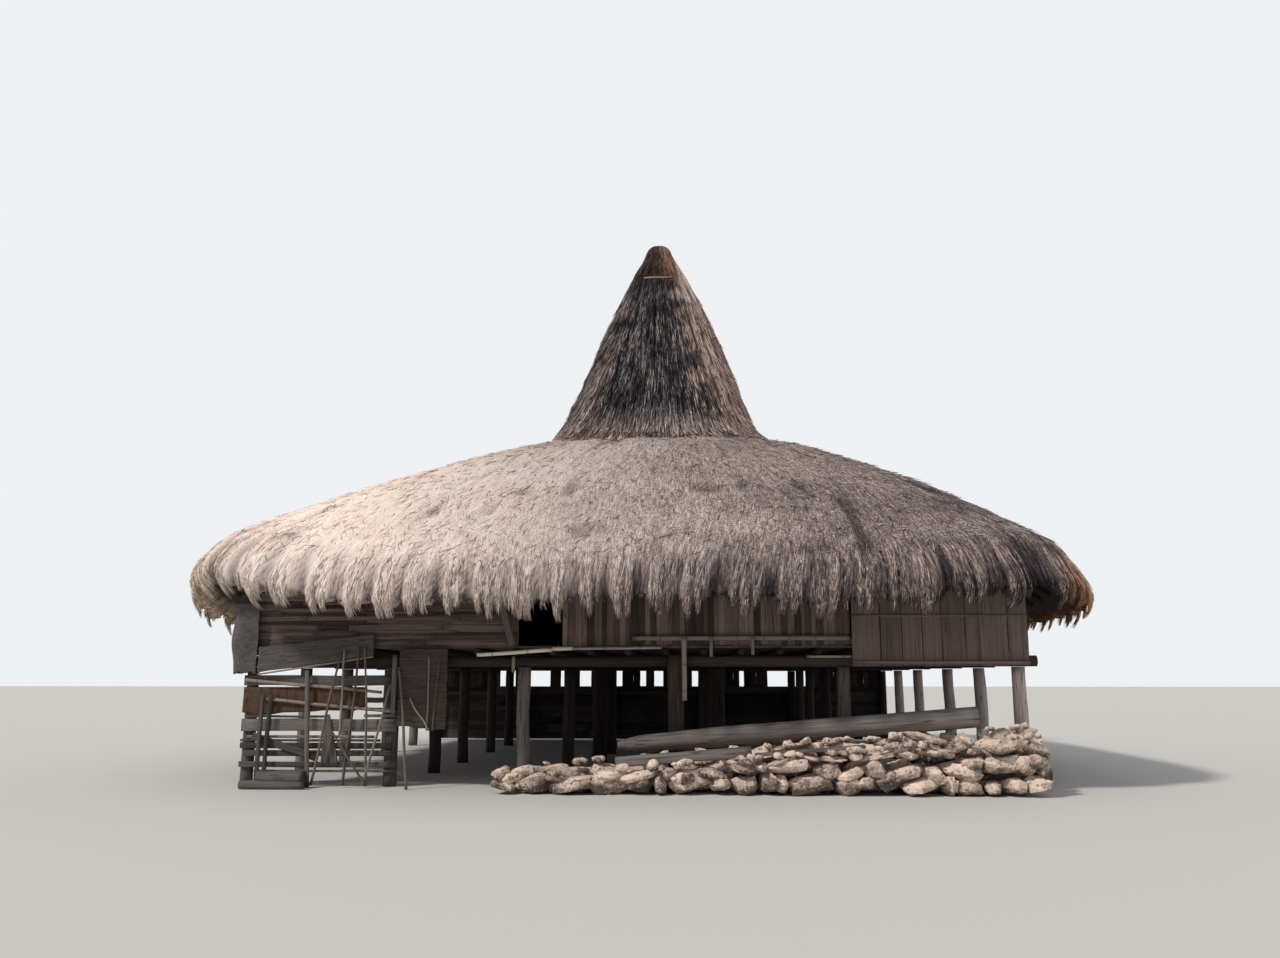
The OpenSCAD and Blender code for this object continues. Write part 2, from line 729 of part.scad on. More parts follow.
// Ends of the mat, and of the flap beside it
mat_left = -face_of_boards + corner_mat_w / 2 + mat_t;
mat_end = front_x[1] - 1.25 * post_d;
flap_left = front_x[1] + 0.64 * post_d;
// Lower edge of the mat, which rises from the left corner to the right
mat_low = [0.95 * post_top, 1.1 * post_top];

module pen_rails() {
    edge_y = mat_y + thin_d / 2;
    under = thin_d / 2 + seat + mat_t / 4;
    color("#a59a86") {
        for (rail = [[pen(0.01, 0.89), pen(0.9, 0.785)], [pen(0.14, 0.73), pen(1, 0.62)]])
            pole([rail[0].x, rail_y, rail[0].y], [rail[1].x, rail_y, rail[1].y], pen_rail_d);
        pole([mat_left, edge_y, mat_low[0] - under], [mat_end, edge_y, mat_low[1] - under], thin_d);
    }
}

// Mat with a slanting lower edge, hung against the joists' ends
module hanging_mat() {
    color("#8d8069") sheet([[mat_left, mat_low[0]], [mat_end, mat_low[1]],
                            [mat_end, 1.28 * post_top], [mat_left, 1.17 * post_top]], mat_y, mat_t);
}

// Sheet bent round the corner post and the beam's end
module corner_mat() {
    bend = corner_mat_w / 3;
    left = -half - post_d / 2 - beam_out - 1.2 * mat_t;
    color("#9a8d76") translate([left, mat_y, mat_low[0]]) linear_extrude(corner_mat_h) intersection() {
        difference() {
            translate([bend, bend]) offset(r = bend) square(2 * corner_mat_w);
            translate([bend, bend]) offset(r = bend - mat_t) square(2 * corner_mat_w);
        }
        square([mat_left - mat_t - left, corner_mat_w]);
    }
}

module hanging_flap() {
    top = joist_z + joist_d / 2;
    color("#857863") board([flap_left, mat_y, top - flap_h - joist_d / 2],
                           [flap_left + flap_w, mat_y + mat_t, top]);
}

// Stick along the front between a foot and a head, in a layer counted from the mats
module stick(foot, head, layer, d) {
    y = mat_y - seat - d / 2 - layer * (d + seat);
    pole([foot.x, y, foot.y], [head.x, y, head.y], d);
}

// Sticks that lean on the mat, and three thin ones that hang on the flap
module pen_sticks() {
    low = 0.02;
    hang = flap_left + 0.6 * flap_w;
    tip = 0.47 * post_top;
    color("#998d7a") {
        stick(pen(0.655, 0.43), pen(0.66, 1.15), 0, stick_d);
        stick(pen(0.49, low), pen(0.635, 1.12), 0, stick_d);
        stick(pen(0.69, low), pen(0.755, 1.18), 0, stick_d);
        stick(pen(0.84, low), pen(0.79, 1.18), 0, stick_d);
        stick(pen(0.82, low), pen(0.97, 0.85), 1, stick_d);
        stick(pen(0.85, low), pen(0.6, 0.5), 2, stick_d);
        stick([hang, tip], [hang, 1.1 * post_top], 0, thin_d);
        stick([hang + 0.12 * flap_w, tip], [hang + 0.23 * flap_w, 1.1 * post_top], 0, thin_d);
        stick([hang + 0.06 * flap_w, tip], [hang - 0.34 * flap_w, 0.74 * post_top], 1, thin_d);
    }
}

// Slender pole that stands out from the flap and leans on it
module leaning_pole() {
    run = 0.13 * post_top;
    color("#8d8271") pole([flap_left + 0.33 * flap_w, stick_y - run, stick_d / 2 * sin(atan(run / post_top))],
                          [flap_left, stick_y, post_top], stick_d);
}

// Lying boards between the back posts, with short uprights and gaps above them
module under_floor_fence() {
    y = half + post_d / 2 + seat;
    rows = 5;
    row_h = 0.1525 * post_top;
    top = 0.05 * post_top + (rows - 1) * row_h + board_h + seat;
    uprights = 14;
    pitch = 2 * half / uprights;
    color("#776b5d") {
        for (i = [0:rows - 1])
            board([-half, y, 0.05 * post_top + i * row_h],
                  [half, y + board_t, 0.05 * post_top + i * row_h + board_h]);
        for (i = [0:uprights - 1])
            board([-half + i * pitch, y, top], [-half + (i + 0.62) * pitch, y + board_t, 0.99 * post_top]);
    }
}

// Dry stone sill along the front posts: its top rises to the right, with a lower step in front
sill_left = front_x[2] - 1.4 * post_d;
sill_right = face_of_boards;
sill_slope = (sill_high - sill_low) / (sill_right - sill_left);
function sill_z(x) = sill_low + sill_slope * (x - sill_left);
sill_back = -half - tall_post_d / 2 - seat;
step_drop = 110;
step_depth = 380;

module sill_course(y, depth, drop) {
    translate([0, y, 0]) rotate([90, 0, 0]) linear_extrude(depth)
        polygon([[sill_left, 0], [sill_right, 0], [sill_right, sill_high - drop],
                 [sill_left, sill_low - drop]]);
}

module stone_sill() {
    color("#b5ab9b") {
        sill_course(sill_back, sill_depth, 0);
        sill_course(sill_back - sill_depth, step_depth, step_drop);
    }
}

log_left = front_x[2] + 0.25 * half;
log_right = front_x[5] - 0.13 * half;

// Log that lies up the slope, thinner and pointed at its low left end
module sill_log() {
    y = sill_back - sill_depth / 2;
    up = (log_d / 2 + seat) / cos(atan(sill_slope));
    rise = sill_z(log_right) - sill_z(log_left);
    length = norm([log_right - log_left, rise]);
    color("#9a9184") translate([log_left, y, sill_z(log_left) + up])
        rotate([0, 90 - atan(sill_slope), 0]) rotate_extrude()
            polygon([[0, 0], [0.16 * log_d, 0], [0.38 * log_d, 0.05 * length],
                     [0.5 * log_d, 0.3 * length], [0.5 * log_d, length], [0, length]]);
}

// Squared timber and a plank, end to end on the lower step
module sill_plank() {
    y = sill_back - sill_depth - step_depth / 2;
    timber = 0.37 * (log_right - log_left);
    timber_t = 0.48 * log_d;
    color("#9a9184") translate([log_left, y, sill_z(log_left) - step_drop + seat])
        rotate([0, -atan(sill_slope), 0]) {
            translate([0, -timber_t / 2, 0]) cube([timber, timber_t, timber_t]);
            translate([1.02 * timber, -step_depth / 3, 0])
                cube([0.8 * timber, 0.6 * step_depth, 1.5 * board_t]);
        }
}

front_posts();
back_posts();
left_posts();
right_posts();
inner_posts();
main_posts();
floor_beams();
floor_joists();
floor_deck();
front_rail();
ledge_poles();
front_wall_right();
front_wall_middle();
front_wall_left();
back_wall();
left_wall();
right_wall();
wall_studs();
wall_plates();
front_rafters();
back_rafters();
left_rafters();
right_rafters();
hip_rafters();
rafter_ring();
spire_poles();
spire_ring();
front_thatch();
back_thatch();
left_thatch();
right_thatch();
spire_thatch();
spire_batten();
pen_planks();
pen_rails();
pen_sticks();
bark_panel();
hanging_mat();
corner_mat();
hanging_flap();
leaning_pole();
under_floor_fence();
stone_sill();
sill_log();
sill_plank();
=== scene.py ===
import math

import bpy
import numpy as np
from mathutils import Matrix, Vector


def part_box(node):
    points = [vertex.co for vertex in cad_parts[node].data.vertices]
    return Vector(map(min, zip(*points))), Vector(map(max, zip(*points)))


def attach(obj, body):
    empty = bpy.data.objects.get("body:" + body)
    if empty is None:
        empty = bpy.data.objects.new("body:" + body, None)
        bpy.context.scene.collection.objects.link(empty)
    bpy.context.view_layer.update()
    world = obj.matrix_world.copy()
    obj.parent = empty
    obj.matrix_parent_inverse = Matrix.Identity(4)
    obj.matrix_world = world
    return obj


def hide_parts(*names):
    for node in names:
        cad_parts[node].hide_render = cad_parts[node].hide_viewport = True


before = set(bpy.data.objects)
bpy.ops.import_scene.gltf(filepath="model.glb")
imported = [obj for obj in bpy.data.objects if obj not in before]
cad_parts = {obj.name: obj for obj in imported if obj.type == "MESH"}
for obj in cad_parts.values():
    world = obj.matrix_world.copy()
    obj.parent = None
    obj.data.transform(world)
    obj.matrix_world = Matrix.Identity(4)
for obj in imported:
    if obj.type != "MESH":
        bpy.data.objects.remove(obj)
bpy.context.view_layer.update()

bl_info = {
    "name": "Stilt house",
    "version": (1, 0, 0),
    "blender": (4, 5, 0),
    "location": "View3D > Sidebar > Stilt house",
    "description": "Dresses the solids of a thatched stilt house with straw, timber, mats and stone",
    "category": "Object",
}

# Layout in metres, the same as the solids': levels of the floor, then the roof's outline
HALF, FACE = 5.3997, 5.5
POST_TOP, BEAM_Z, JOIST_Z, FLOOR_Z, WALL_TOP = 1.6391, 1.7194, 1.8497, 1.93, 3.103
JOIST_PITCH, SPIRE_X = 0.52997, 0.264985
PLATE_Z, RUN_FRONT, RUN_LEFT, RUN_RIGHT, ROOF_RISE, TO_THATCH = 3.1833, 4.3497, 4.6047, 4.0748, 2.514, 0.1706
MAIN_X, MAIN_Y, MAIN_TOP = (-0.79496, 1.32493), 1.05, 5.617
FRONT_X = (-5.3997, -3.3478, -1.4687, 0.6588, 3.0022, 5.3997)
SIDE_X = (-5.3997, -3.2398, -1.0799, 1.0799, 3.2398, 5.3997)
ROW_Y = (-5.3997, -3.335, -1.2703, 1.2703, 3.335, 5.3997)
EAVE, NECK, EAVE_ROUND, NECK_ROUND = 7.1, 2.078, 4.45, 3.59
EAVE_Z, NECK_Z, TIP_Z, CORNER_RISE, CORNER_TILT, SIDE_RISE = 2.63, 5.754, 10.292, 0.37, 0.29, 0.06
FALL, CORNER_FALL, FALL_TILT, CORNER_POWER = 0.08, 0.14, 0.1, 12
BOW, BOW_SIDE = 1.27, 0.09
# The slope's length from the neck to the eave as the straw lies, the spire's height, and its half width under the cap
SLOPE, SPIRE_H, SLIM = 6.0, TIP_Z - NECK_Z, 0.12
# Places where the eave's hollows are told, just past the eave, and broad swells round it
PAST_EAVE, SWELLS = SLOPE + 0.3, 48
DOOR_LEFT, DOOR_RIGHT, PANEL_LEFT = -1.5687, -0.9287, 3.1022
PEN_LEFT, PEN_RIGHT = -5.47, -3.2478
BOARD_Y, RAIL_Y, BRACE_Y, MAT_Y, STICK_Y = -5.53, -5.5578, -5.5603, -5.6153, -5.6381
MAT_LEFT, MAT_RIGHT, SHEET_Y, WRAP_X = -5.255, -3.598, MAT_Y + 0.0125, -5.6672
SILL_LEFT, SILL_RIGHT, SILL_BACK, SILL_MID, SILL_FRONT = -1.7487, 5.5, -5.515, -6.065, -6.445
SILL_LOW, SILL_HIGH, STEP_DROP = 0.317, 0.892, 0.11
SILL_SLOPE = (SILL_HIGH - SILL_LOW) / (SILL_RIGHT - SILL_LEFT)
# Thickness of the boards, from a wall's face to their middle, the gap between pieces that rest on each other, and
# how far from a post's middle the beams beside it end and the fence behind it stands
BOARD, SKIN, GAP, PAST_POST = 0.03, 0.015, 0.0003, 0.1153
# Share of the slope from which the clumps open, the power of the spire's curve, and how many straws each piece has
CREASE, CURVE = 0.84, 0.693
SLOPE_STRAWS, FRINGE_STRAWS, HEM_STRAWS, SPIRE_STRAWS = 12500, 16400, 5200, 13500
# The camera, as fitted to the photo, the sun's turn, and how far the floor reaches
EYE, EYE_TURN = (0.963, -20.209, 1.5), (math.pi / 2 + 0.189, 0, 0.054)
SUN_TURN, FLOOR_REACH = (math.radians(48), 0, math.radians(-52)), 150
# Ways that a bar's width is measured
X_WAY, Y_WAY, Z_WAY = (1, 0, 0), (0, 1, 0), (0, 0, 1)


def rng(seed):
    """Random draws, the same for the same seed."""
    return np.random.default_rng(seed)


def smooth(x):
    """Eases a share: three times its square less twice its cube, held between 0 and 1."""
    x = np.clip(x, 0, 1)
    return x * x * (3 - 2 * x)


def wavy(u, v, seed, loop=256, rows=64):
    """Value noise from -1 to 1: random heights on whole numbers, eased between them; u repeats after loop."""
    table = rng(seed).uniform(-1, 1, (int(np.max(loop)), rows))
    u, v = np.broadcast_arrays(np.asarray(u, float), np.asarray(v, float))
    i, j = np.floor(u).astype(int), np.floor(v).astype(int)
    a, b = smooth(u - i), smooth(v - j)
    i0, i1, j0, j1 = i % loop, (i + 1) % loop, j % rows, (j + 1) % rows
    low = table[i0, j0] * (1 - a) + table[i1, j0] * a
    high = table[i0, j1] * (1 - a) + table[i1, j1] * a
    return low * (1 - b) + high * b


def unit(v):
    """Vectors over their own lengths."""
    return v / np.maximum(np.linalg.norm(v, axis=-1, keepdims=True), 1e-9)


def vectors(x, y, z):
    """Vectors from three arrays or numbers, spread to one shape."""
    return np.stack(np.broadcast_arrays(x, y, z), -1)


def grid(rows, columns):
    """Shares from 0 to 1 along the rows and along the columns."""
    return np.linspace(0, 1, rows)[:, None], np.linspace(0, 1, columns)[None]


# Closed skins. A part is points, four-sided faces, triangles, and two vectors for each point: grain is its place in
# the material's own space, tone holds chance and tip from 0 to 1, and hollow, which darkens straw as painted shade and
# passes 1 on the straw's underside.

def outward(points, quads, tris):
    """Turns all faces over if the volume that they close comes out negative."""
    t = points[np.concatenate([tris, quads[:, [0, 1, 2]], quads[:, [0, 2, 3]]])]
    if np.einsum("ij,ij->", t[:, 0], np.cross(t[:, 1], t[:, 2])) < 0:
        quads, tris = quads[:, ::-1], tris[:, ::-1]
    return quads, tris


def lattice(rows, sides, closed):
    """Four-sided faces between rows of points whose sides join; where it is closed the last row joins the first."""
    i, k = np.meshgrid(np.arange(rows if closed else rows - 1), np.arange(sides), indexing="ij")
    i2, k2 = (i + 1) % rows, (k + 1) % sides
    return np.stack([i * sides + k, i2 * sides + k, i2 * sides + k2, i * sides + k2], -1).reshape(-1, 4)


def middles(rings):
    """Middles of the first and the last ring of each tube."""
    return np.stack([rings[:, 0].mean(1), rings[:, -1].mean(1)], 1)


def tubes(rings, ends, grain, tone, end_grain=None):
    """Many closed tubes at once. rings is (tubes, rings, sides, 3); ends holds the point that closes each end."""
    n, r, s, _ = rings.shape
    if end_grain is None:
        end_grain = middles(grain)
    points, grain, tone = (np.concatenate([values.reshape(n, -1, 3), close], 1) for values, close in (
        (rings, ends), (grain, end_grain), (tone, middles(tone))))
    k = np.arange(s)
    j, last = (k + 1) % s, (r - 1) * s
    tris = np.concatenate([vectors(r * s, k, j), vectors(r * s + 1, last + j, last + k)])
    shift = (np.arange(n) * points.shape[1])[:, None, None]
    points = points.reshape(-1, 3)
    quads, tris = outward(points, (lattice(r, s, False) + shift).reshape(-1, 4), (tris + shift).reshape(-1, 3))
    return points, quads, tris, grain.reshape(-1, 3), tone.reshape(-1, 3)


def torus(rows, grain, tone):
    """A closed skin whose rows join round the house and whose last row joins the first."""
    points, faces = rows.reshape(-1, 3), lattice(*rows.shape[:2], True)
    return points, *outward(points, faces, np.zeros((0, 3), int)), grain.reshape(-1, 3), tone.reshape(-1, 3)


def slab(middle, across, thick, grain, tone):
    """A sheet as a closed skin: each row of the middle grid becomes a flat ring, front then back."""
    lift = np.asarray(across) * thick / 2
    rings, grain, tone = (np.concatenate([front, back[:, ::-1]], 1)[None] for front, back in (
        (middle + lift, middle - lift), (grain, grain), (tone, tone)))
    return tubes(rings, middles(rings), grain, tone)


def bars(a, b, wide, across, seed, rings=12, sides=12, square=2, bow=0.004, rough=0.05, thick=None, taper=1, start=1):
    """Bars, boards and poles from a to b, as thick as wide unless thick is given.

    At a share s of the length the middle is a + (b - a)s, moved sideways by bow times a random wave, and the section is
    cos and sin of the angle, each to the power 2 / square, times half the width and half the thickness.
    """
    a, b = np.broadcast_arrays(*(np.atleast_2d(np.asarray(end, float)) for end in (a, b)))
    n = len(a)
    wide, thick = (np.broadcast_to(np.asarray(x, float), (n,)) for x in (wide, wide if thick is None else thick))
    draw = rng(seed)
    length = np.linalg.norm(b - a, axis=-1)
    along = unit(b - a)
    flat = unit(np.cross(along, across))
    side = unit(np.cross(flat, along))
    s = np.linspace(0, 1, rings)
    turn = np.linspace(0, 2 * np.pi, sides, endpoint=False) + np.pi / sides
    x, y = (np.sign(c) * np.abs(c) ** (2 / square) for c in (np.cos(turn), np.sin(turn)))
    phase = draw.uniform(0, 64, (n, 1))
    still = np.sin(np.pi * s) ** 0.5
    wave_x = wavy(phase * 3, s * 2.2 + phase, seed) * still * bow
    wave_y = wavy(phase * 5 + 9, s * 2.2 + phase, seed + 1) * still * bow
    size = np.interp(s, [0, 1], [start, taper]) * (1 + 0.35 * rough * wavy(phase * 7, s * 4 + phase, seed + 2))
    dent = 1 + rough * wavy(np.arange(sides) * 1.7 + phase[..., None], s[None, :, None] * 5, seed + 3)
    lx = x * (size * wide[:, None] / 2)[..., None] * dent
    ly = y * (size * thick[:, None] / 2)[..., None] * dent
    centre = a[:, None] + (b - a)[:, None] * s[None, :, None] + wave_x[..., None] * side[:, None]
    centre = centre + wave_y[..., None] * flat[:, None] * np.minimum(thick / wide, 1)[:, None, None]
    points = centre[:, :, None] + lx[..., None] * side[:, None, None] + ly[..., None] * flat[:, None, None]
    run = (s * length[:, None] + phase * 7.3)[..., None]
    end = 1 - np.clip(np.minimum(s, 1 - s) * length[:, None] / 0.12, 0, 1)
    tone = vectors(draw.uniform(0, 1, (n, 1, 1)), end[..., None], 0 * lx)
    return tubes(points, centre[:, [0, -1]], vectors(lx + phase[..., None] * 3.1, ly, run), tone)


def along_front(y, foot, head, wide, seed, across=Z_WAY, **more):
    """A bar that lies or stands along the front between two places of X and Z."""
    return bars((foot[0], y, foot[1]), (head[0], y, head[1]), wide, across, seed, **more)


def piece(name, parts, finish, slot, *nodes, flat=False):
    """One object from closed parts, in place of the named solids, shaded smoothly unless flat is given."""
    starts = np.cumsum([0] + [len(part[0]) for part in parts[:-1]])
    points, quads, tris, grain, tone = zip(*parts)
    points, grain, tone = (np.concatenate(x).astype(np.float32) for x in (points, grain, tone))
    points[:, 2] = np.maximum(points[:, 2], 0)
    quads, tris = (np.concatenate([f + start for f, start in zip(faces, starts)]) for faces in (quads, tris))
    mesh = bpy.data.meshes.new(name)
    mesh.vertices.add(len(points))
    mesh.vertices.foreach_set("co", points.ravel())
    corners = np.concatenate([quads.ravel(), tris.ravel()]).astype(np.int32)
    sizes = np.repeat([4, 3], [len(quads), len(tris)]).astype(np.int32)
    mesh.loops.add(len(corners))
    mesh.loops.foreach_set("vertex_index", corners)
    mesh.polygons.add(len(sizes))
    mesh.polygons.foreach_set("loop_start", (np.cumsum(sizes) - sizes).astype(np.int32))
    mesh.update(calc_edges=True)
    mesh.validate()
    mesh.polygons.foreach_set("use_smooth", np.full(len(mesh.polygons), not flat))
    for label, values in (("grain", grain), ("tone", tone)):
        mesh.attributes.new(label, "FLOAT_VECTOR", "POINT").data.foreach_set("vector", values.ravel())
    obj = bpy.data.objects.new(name, mesh)
    bpy.context.scene.collection.objects.link(obj)
    mesh.materials.append(finish)
    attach(obj, "root")
    if nodes:
        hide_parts(*nodes)
    return obj


def repaint(finish, *nodes):
    """Gives solids that stay in view a worked-out material."""
    for name in nodes:
        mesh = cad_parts[name].data
        mesh.materials.clear()
        mesh.materials.append(finish)


# Shader maths

class Value:
    """A shader socket; sums and products of values make Math nodes."""

    def __init__(self, nodes, socket):
        self.nodes, self.socket = nodes, socket

    def maths(self, kind, *others):
        return self.nodes.node("ShaderNodeMath", {"operation": kind}, dict(enumerate((self,) + others)))

    def __add__(self, other):
        return self.maths("ADD", other)

    def __mul__(self, other):
        return self.maths("MULTIPLY", other)

    def __sub__(self, other):
        return self.maths("SUBTRACT", other)

    def __rsub__(self, other):
        return self.nodes.node("ShaderNodeMath", {"operation": "SUBTRACT"}, {0: other, 1: self})

    __radd__, __rmul__ = __add__, __mul__

    def span(self, low, high):
        """0 at low and 1 at high, held there outside."""
        return self.nodes.node("ShaderNodeMapRange", {"clamp": True}, {0: self, 1: low, 2: high, 3: 0, 4: 1})


class Nodes:
    """A node tree under work."""

    def __init__(self, tree):
        self.tree = tree

    def put(self, socket, value):
        if isinstance(value, Value):
            self.tree.links.new(value.socket, socket)
        elif hasattr(socket.default_value, "__len__") and len(socket.default_value) == 4 and len(value) == 3:
            socket.default_value = (*value, 1)
        else:
            socket.default_value = value

    def node(self, kind, settings, inputs, out=0):
        """Any node: its settings first, then its sockets' values or links, by number or name."""
        node = self.tree.nodes.new(kind)
        for key, value in settings.items():
            if key == "stops":
                ramp = node.color_ramp
                while len(ramp.elements) < len(value):
                    ramp.elements.new(0.5)
                for element, (place, colour) in zip(ramp.elements, value):
                    element.position, element.color = place, (*colour, 1)
            else:
                setattr(node, key, value)
        for key, value in inputs.items():
            self.put(node.inputs[key], value)
        return Value(self, node.outputs[out])


class Finish(Nodes):
    """A material under work."""

    def __init__(self, name):
        self.material = bpy.data.materials.new(name)
        self.material.use_nodes = True
        super().__init__(self.material.node_tree)
        self.shader = self.tree.nodes["Principled BSDF"]

    def own(self, name):
        return self.node("ShaderNodeAttribute", {"attribute_name": name}, {}, "Vector")

    def place(self):
        return self.node("ShaderNodeTexCoord", {}, {}, "Object")

    def split(self, vector):
        node = self.node("ShaderNodeSeparateXYZ", {}, {0: vector}).socket.node
        return [Value(self, output) for output in node.outputs]

    def stretched(self, vector, stretch):
        return self.node("ShaderNodeVectorMath", {"operation": "MULTIPLY"}, {0: vector, 1: stretch})

    def noise(self, vector, stretch, detail=3, rough=0.55):
        return self.node("ShaderNodeTexNoise", {}, {
            "Vector": self.stretched(vector, stretch), "Scale": 1, "Detail": detail, "Roughness": rough})

    def cells(self, vector, stretch):
        return self.node("ShaderNodeTexVoronoi", {}, {"Vector": self.stretched(vector, stretch), "Scale": 1})

    def ramp(self, value, *stops):
        return self.node("ShaderNodeValToRGB", {"stops": stops}, {0: value})

    def mix(self, share, a, b, kind="MIX"):
        return self.node("ShaderNodeMix", {"data_type": "RGBA", "blend_type": kind}, {0: share, 6: a, 7: b}, 2)

    def finish(self, colour, rough, height=None, strength=0.5, depth=0.01):
        """Feeds the shader its colour, its roughness and a bump from the height; gives the material back."""
        self.put(self.shader.inputs["Base Color"], colour)
        self.put(self.shader.inputs["Roughness"], rough)
        self.shader.inputs["Specular IOR Level"].default_value = 0.2
        if height is not None:
            bump = self.node("ShaderNodeBump", {}, {"Strength": strength, "Distance": depth, "Height": height})
            self.put(self.shader.inputs["Normal"], bump)
        return self.material


def shades(colour, *factors):
    """The colour times each factor, held at 1."""
    return [tuple(min(c * f, 1) for c in colour) for f in factors]


def shade(colour, factor):
    return shades(colour, factor)[0]


def tinted(colour):
    """A dark, a middle and a pale straw of one colour."""
    return shades(colour, 0.22, 0.9, 1.7)


def straw(name, hemmed, *sets):
    """Straw: locks and streaks below the height where it is hemmed, specks above, single hairs, paler tips, hollows.

    Each set holds a dark, a middle and a pale colour; what comes back is one colour for each set, to be mixed.
    """
    f = Finish(name)
    grain, place = f.own("grain"), f.place()
    chance, tip, hollow = f.split(f.own("tone"))
    lock = f.noise(grain, (7, 1.1, 1), 2, 0.5)
    streak = f.noise(grain, (34, 2.4, 1), 3, 0.7)
    hair = f.noise(grain, (90, 4.5, 1), 2, 0.6)
    speck = f.noise(place, (34, 34, 22), 3, 0.8)
    patch = f.noise(place, (0.55, 0.55, 0.8))
    axes = f.split(place)
    slope = 1 - (hemmed - axes[2]).span(0, 0.55)
    mixed = 0.46 + (lock - 0.5) * (1 - slope * 0.7) + (streak - 0.5) * (2.1 - slope * 1.3)
    mixed = mixed + (hair - 0.5) * (1.7 - slope * 0.4) + (speck - 0.5) * (0.9 + slope * 1.1)
    mixed = mixed + (chance - 0.5) * 0.7 + (patch - 0.5) * 0.9 + tip * 0.14
    colours = [f.ramp(mixed, (0, dark), (0.45, middle), (1, light)) for dark, middle, light in sets]
    return f, colours, hollow, streak * 0.6 + hair * 0.4, axes, patch - 0.5, mixed - 0.46


def skirt_straw(look):
    """Cream straw in painted sunlight at the left, grey in the middle, purple-grey in painted shade at the right, and
    two
    warm corners: golden in painted sunlight at the left, reddish at the right. Hollows and the underside get painted
    shade.
    """
    f, (sun, grey, dim, golden, reddish), hollow, height, (x, y, z), patch, _ = straw(
        "weathered_straw", 3.45, (look.sun_dark, look.sun_middle, look.sun_light), (look.dark, look.middle, look.light),
        (look.shade_dark, look.shade_middle, look.shade_light), tinted(look.golden), tinted(look.tip))
    # Painted sunlight at the left and on the left slope, painted shade at the right
    wander = x + patch * 2.5
    west = 0 - x - y.maths("ABSOLUTE") + patch * 0.6
    sunny = (0 - wander).span(-0.6, 4).maths("MAXIMUM", west.span(-0.4, 0.3) * 0.5)
    east = wander.span(0.4, 4.6)
    colour = f.mix(east, f.mix(sunny, grey, sun), dim)
    # Painted shade: low straw at the right darkens towards the eave
    colour = f.mix((3.1 - z).span(0, 0.5) * wander.span(0, 3.5) * 0.1, colour, look.shade_dark)
    low = (3.5 - z).span(0, 0.8) * (3.5 - y).span(0, 4)
    colour = f.mix((x + patch * 0.8).span(5.8, 6.5) * low * 0.85, colour, reddish)
    # Painted sunlight: golden straw on the left corner
    edge = (0 - x + patch * 0.9).span(5.6, 6.5)
    colour = f.mix(edge * low * 0.9, colour, golden)
    # Painted shade in the hollows between the clumps, deeper at the right
    deep = (hollow * (1 + east * 0.9)).span(0, 0.6) * (0.94 - edge * 0.4)
    colour = f.mix(deep, colour, f.mix(1, colour, (0.12, 0.11, 0.13), "MULTIPLY"))
    # Painted shade on the underside
    colour = f.mix(hollow.span(1.1, 1.9) * 0.93, colour, look.under)
    return f.finish(colour, 0.9, height, 0.8, 0.02)


def spire_straw(look):
    """Dark straw, partly old and partly painted shade, darker on the left edge, in holes and in hollows; browner and
    paler on the right face, which is painted sunlight with a painted highlight near its top; reddish at the top right
    and greyer at the foot, where it is also brightened as painted light against the shade.

    The face is told by the distance from the middle over a half width that grows evenly downwards.
    """
    f, (grey, face, foot, reddish, pale), hollow, height, (x, _, z), patch, mixed = straw(
        "dark_straw", 20, (look.spire_dark, look.spire_middle, look.spire_light),
        (look.face_dark, look.face_middle, look.face_light), shades(look.middle, 0.4, 1.35, 3), tinted(look.tip),
        (look.light, look.sun_middle, look.sun_light))
    ragged = mixed * 0.25 + patch * 0.5
    share = (x - SPIRE_X).maths("DIVIDE", (TIP_Z - z) * 0.4 + 0.35)
    above = z + ragged
    west = 0 - share + ragged * 0.3
    hole = f.noise(f.place(), (2.4, 2.4, 1.3), 3, 0.6)
    # Painted sunlight on the right face
    colour = f.mix((share + ragged - (9 - z) * 0.12).span(0.12, 0.45), grey, face)
    for amount, paint in (
            # Patches of painted sunlight on the left edge
            ((0 - share + ragged).span(0.5, 0.8) * patch.span(-0.08, 0.05) * 0.7, face),
            # Painted shade in holes
            (hole.span(0.52, 0.62) * 0.78, look.spire_dark),
            # Painted shade on the left edge
            (west.span(0.74, 0.88) * 0.75, grey),
            (west.span(0.8, 0.92) * 0.6, look.spire_dark),
            (above.span(9, 9.4) * 0.75, shade(look.tip, 0.05)),
            (above.span(9, 9.7) * (share + ragged * 1.6).span(0, 0.45) * 0.42, reddish),
            # Painted sunlight on the right edge
            ((share + ragged * 0.4).span(0.56, 0.78) * (9.6 - z).span(0, 0.6) * 0.5, look.face_light),
            # Painted highlight near the top of the right edge
            ((share + ragged * 0.5).span(0.52, 0.66) * above.span(8.6, 8.9) * (9.95 - z).span(0, 0.2) * 0.92, pale),
            # Painted shade in the hollows
            (hollow.span(0, 0.75) * 0.85, shade(look.spire_dark, 0.6)),
            # Paler foot: the skirt's grey straw, brightened as painted light against the shade there
            (above.span(6.35, 5.85) * 0.9, foot)):
        colour = f.mix(amount, colour, paint)
    return f.finish(colour, 0.92, height, 0.9, 0.03)


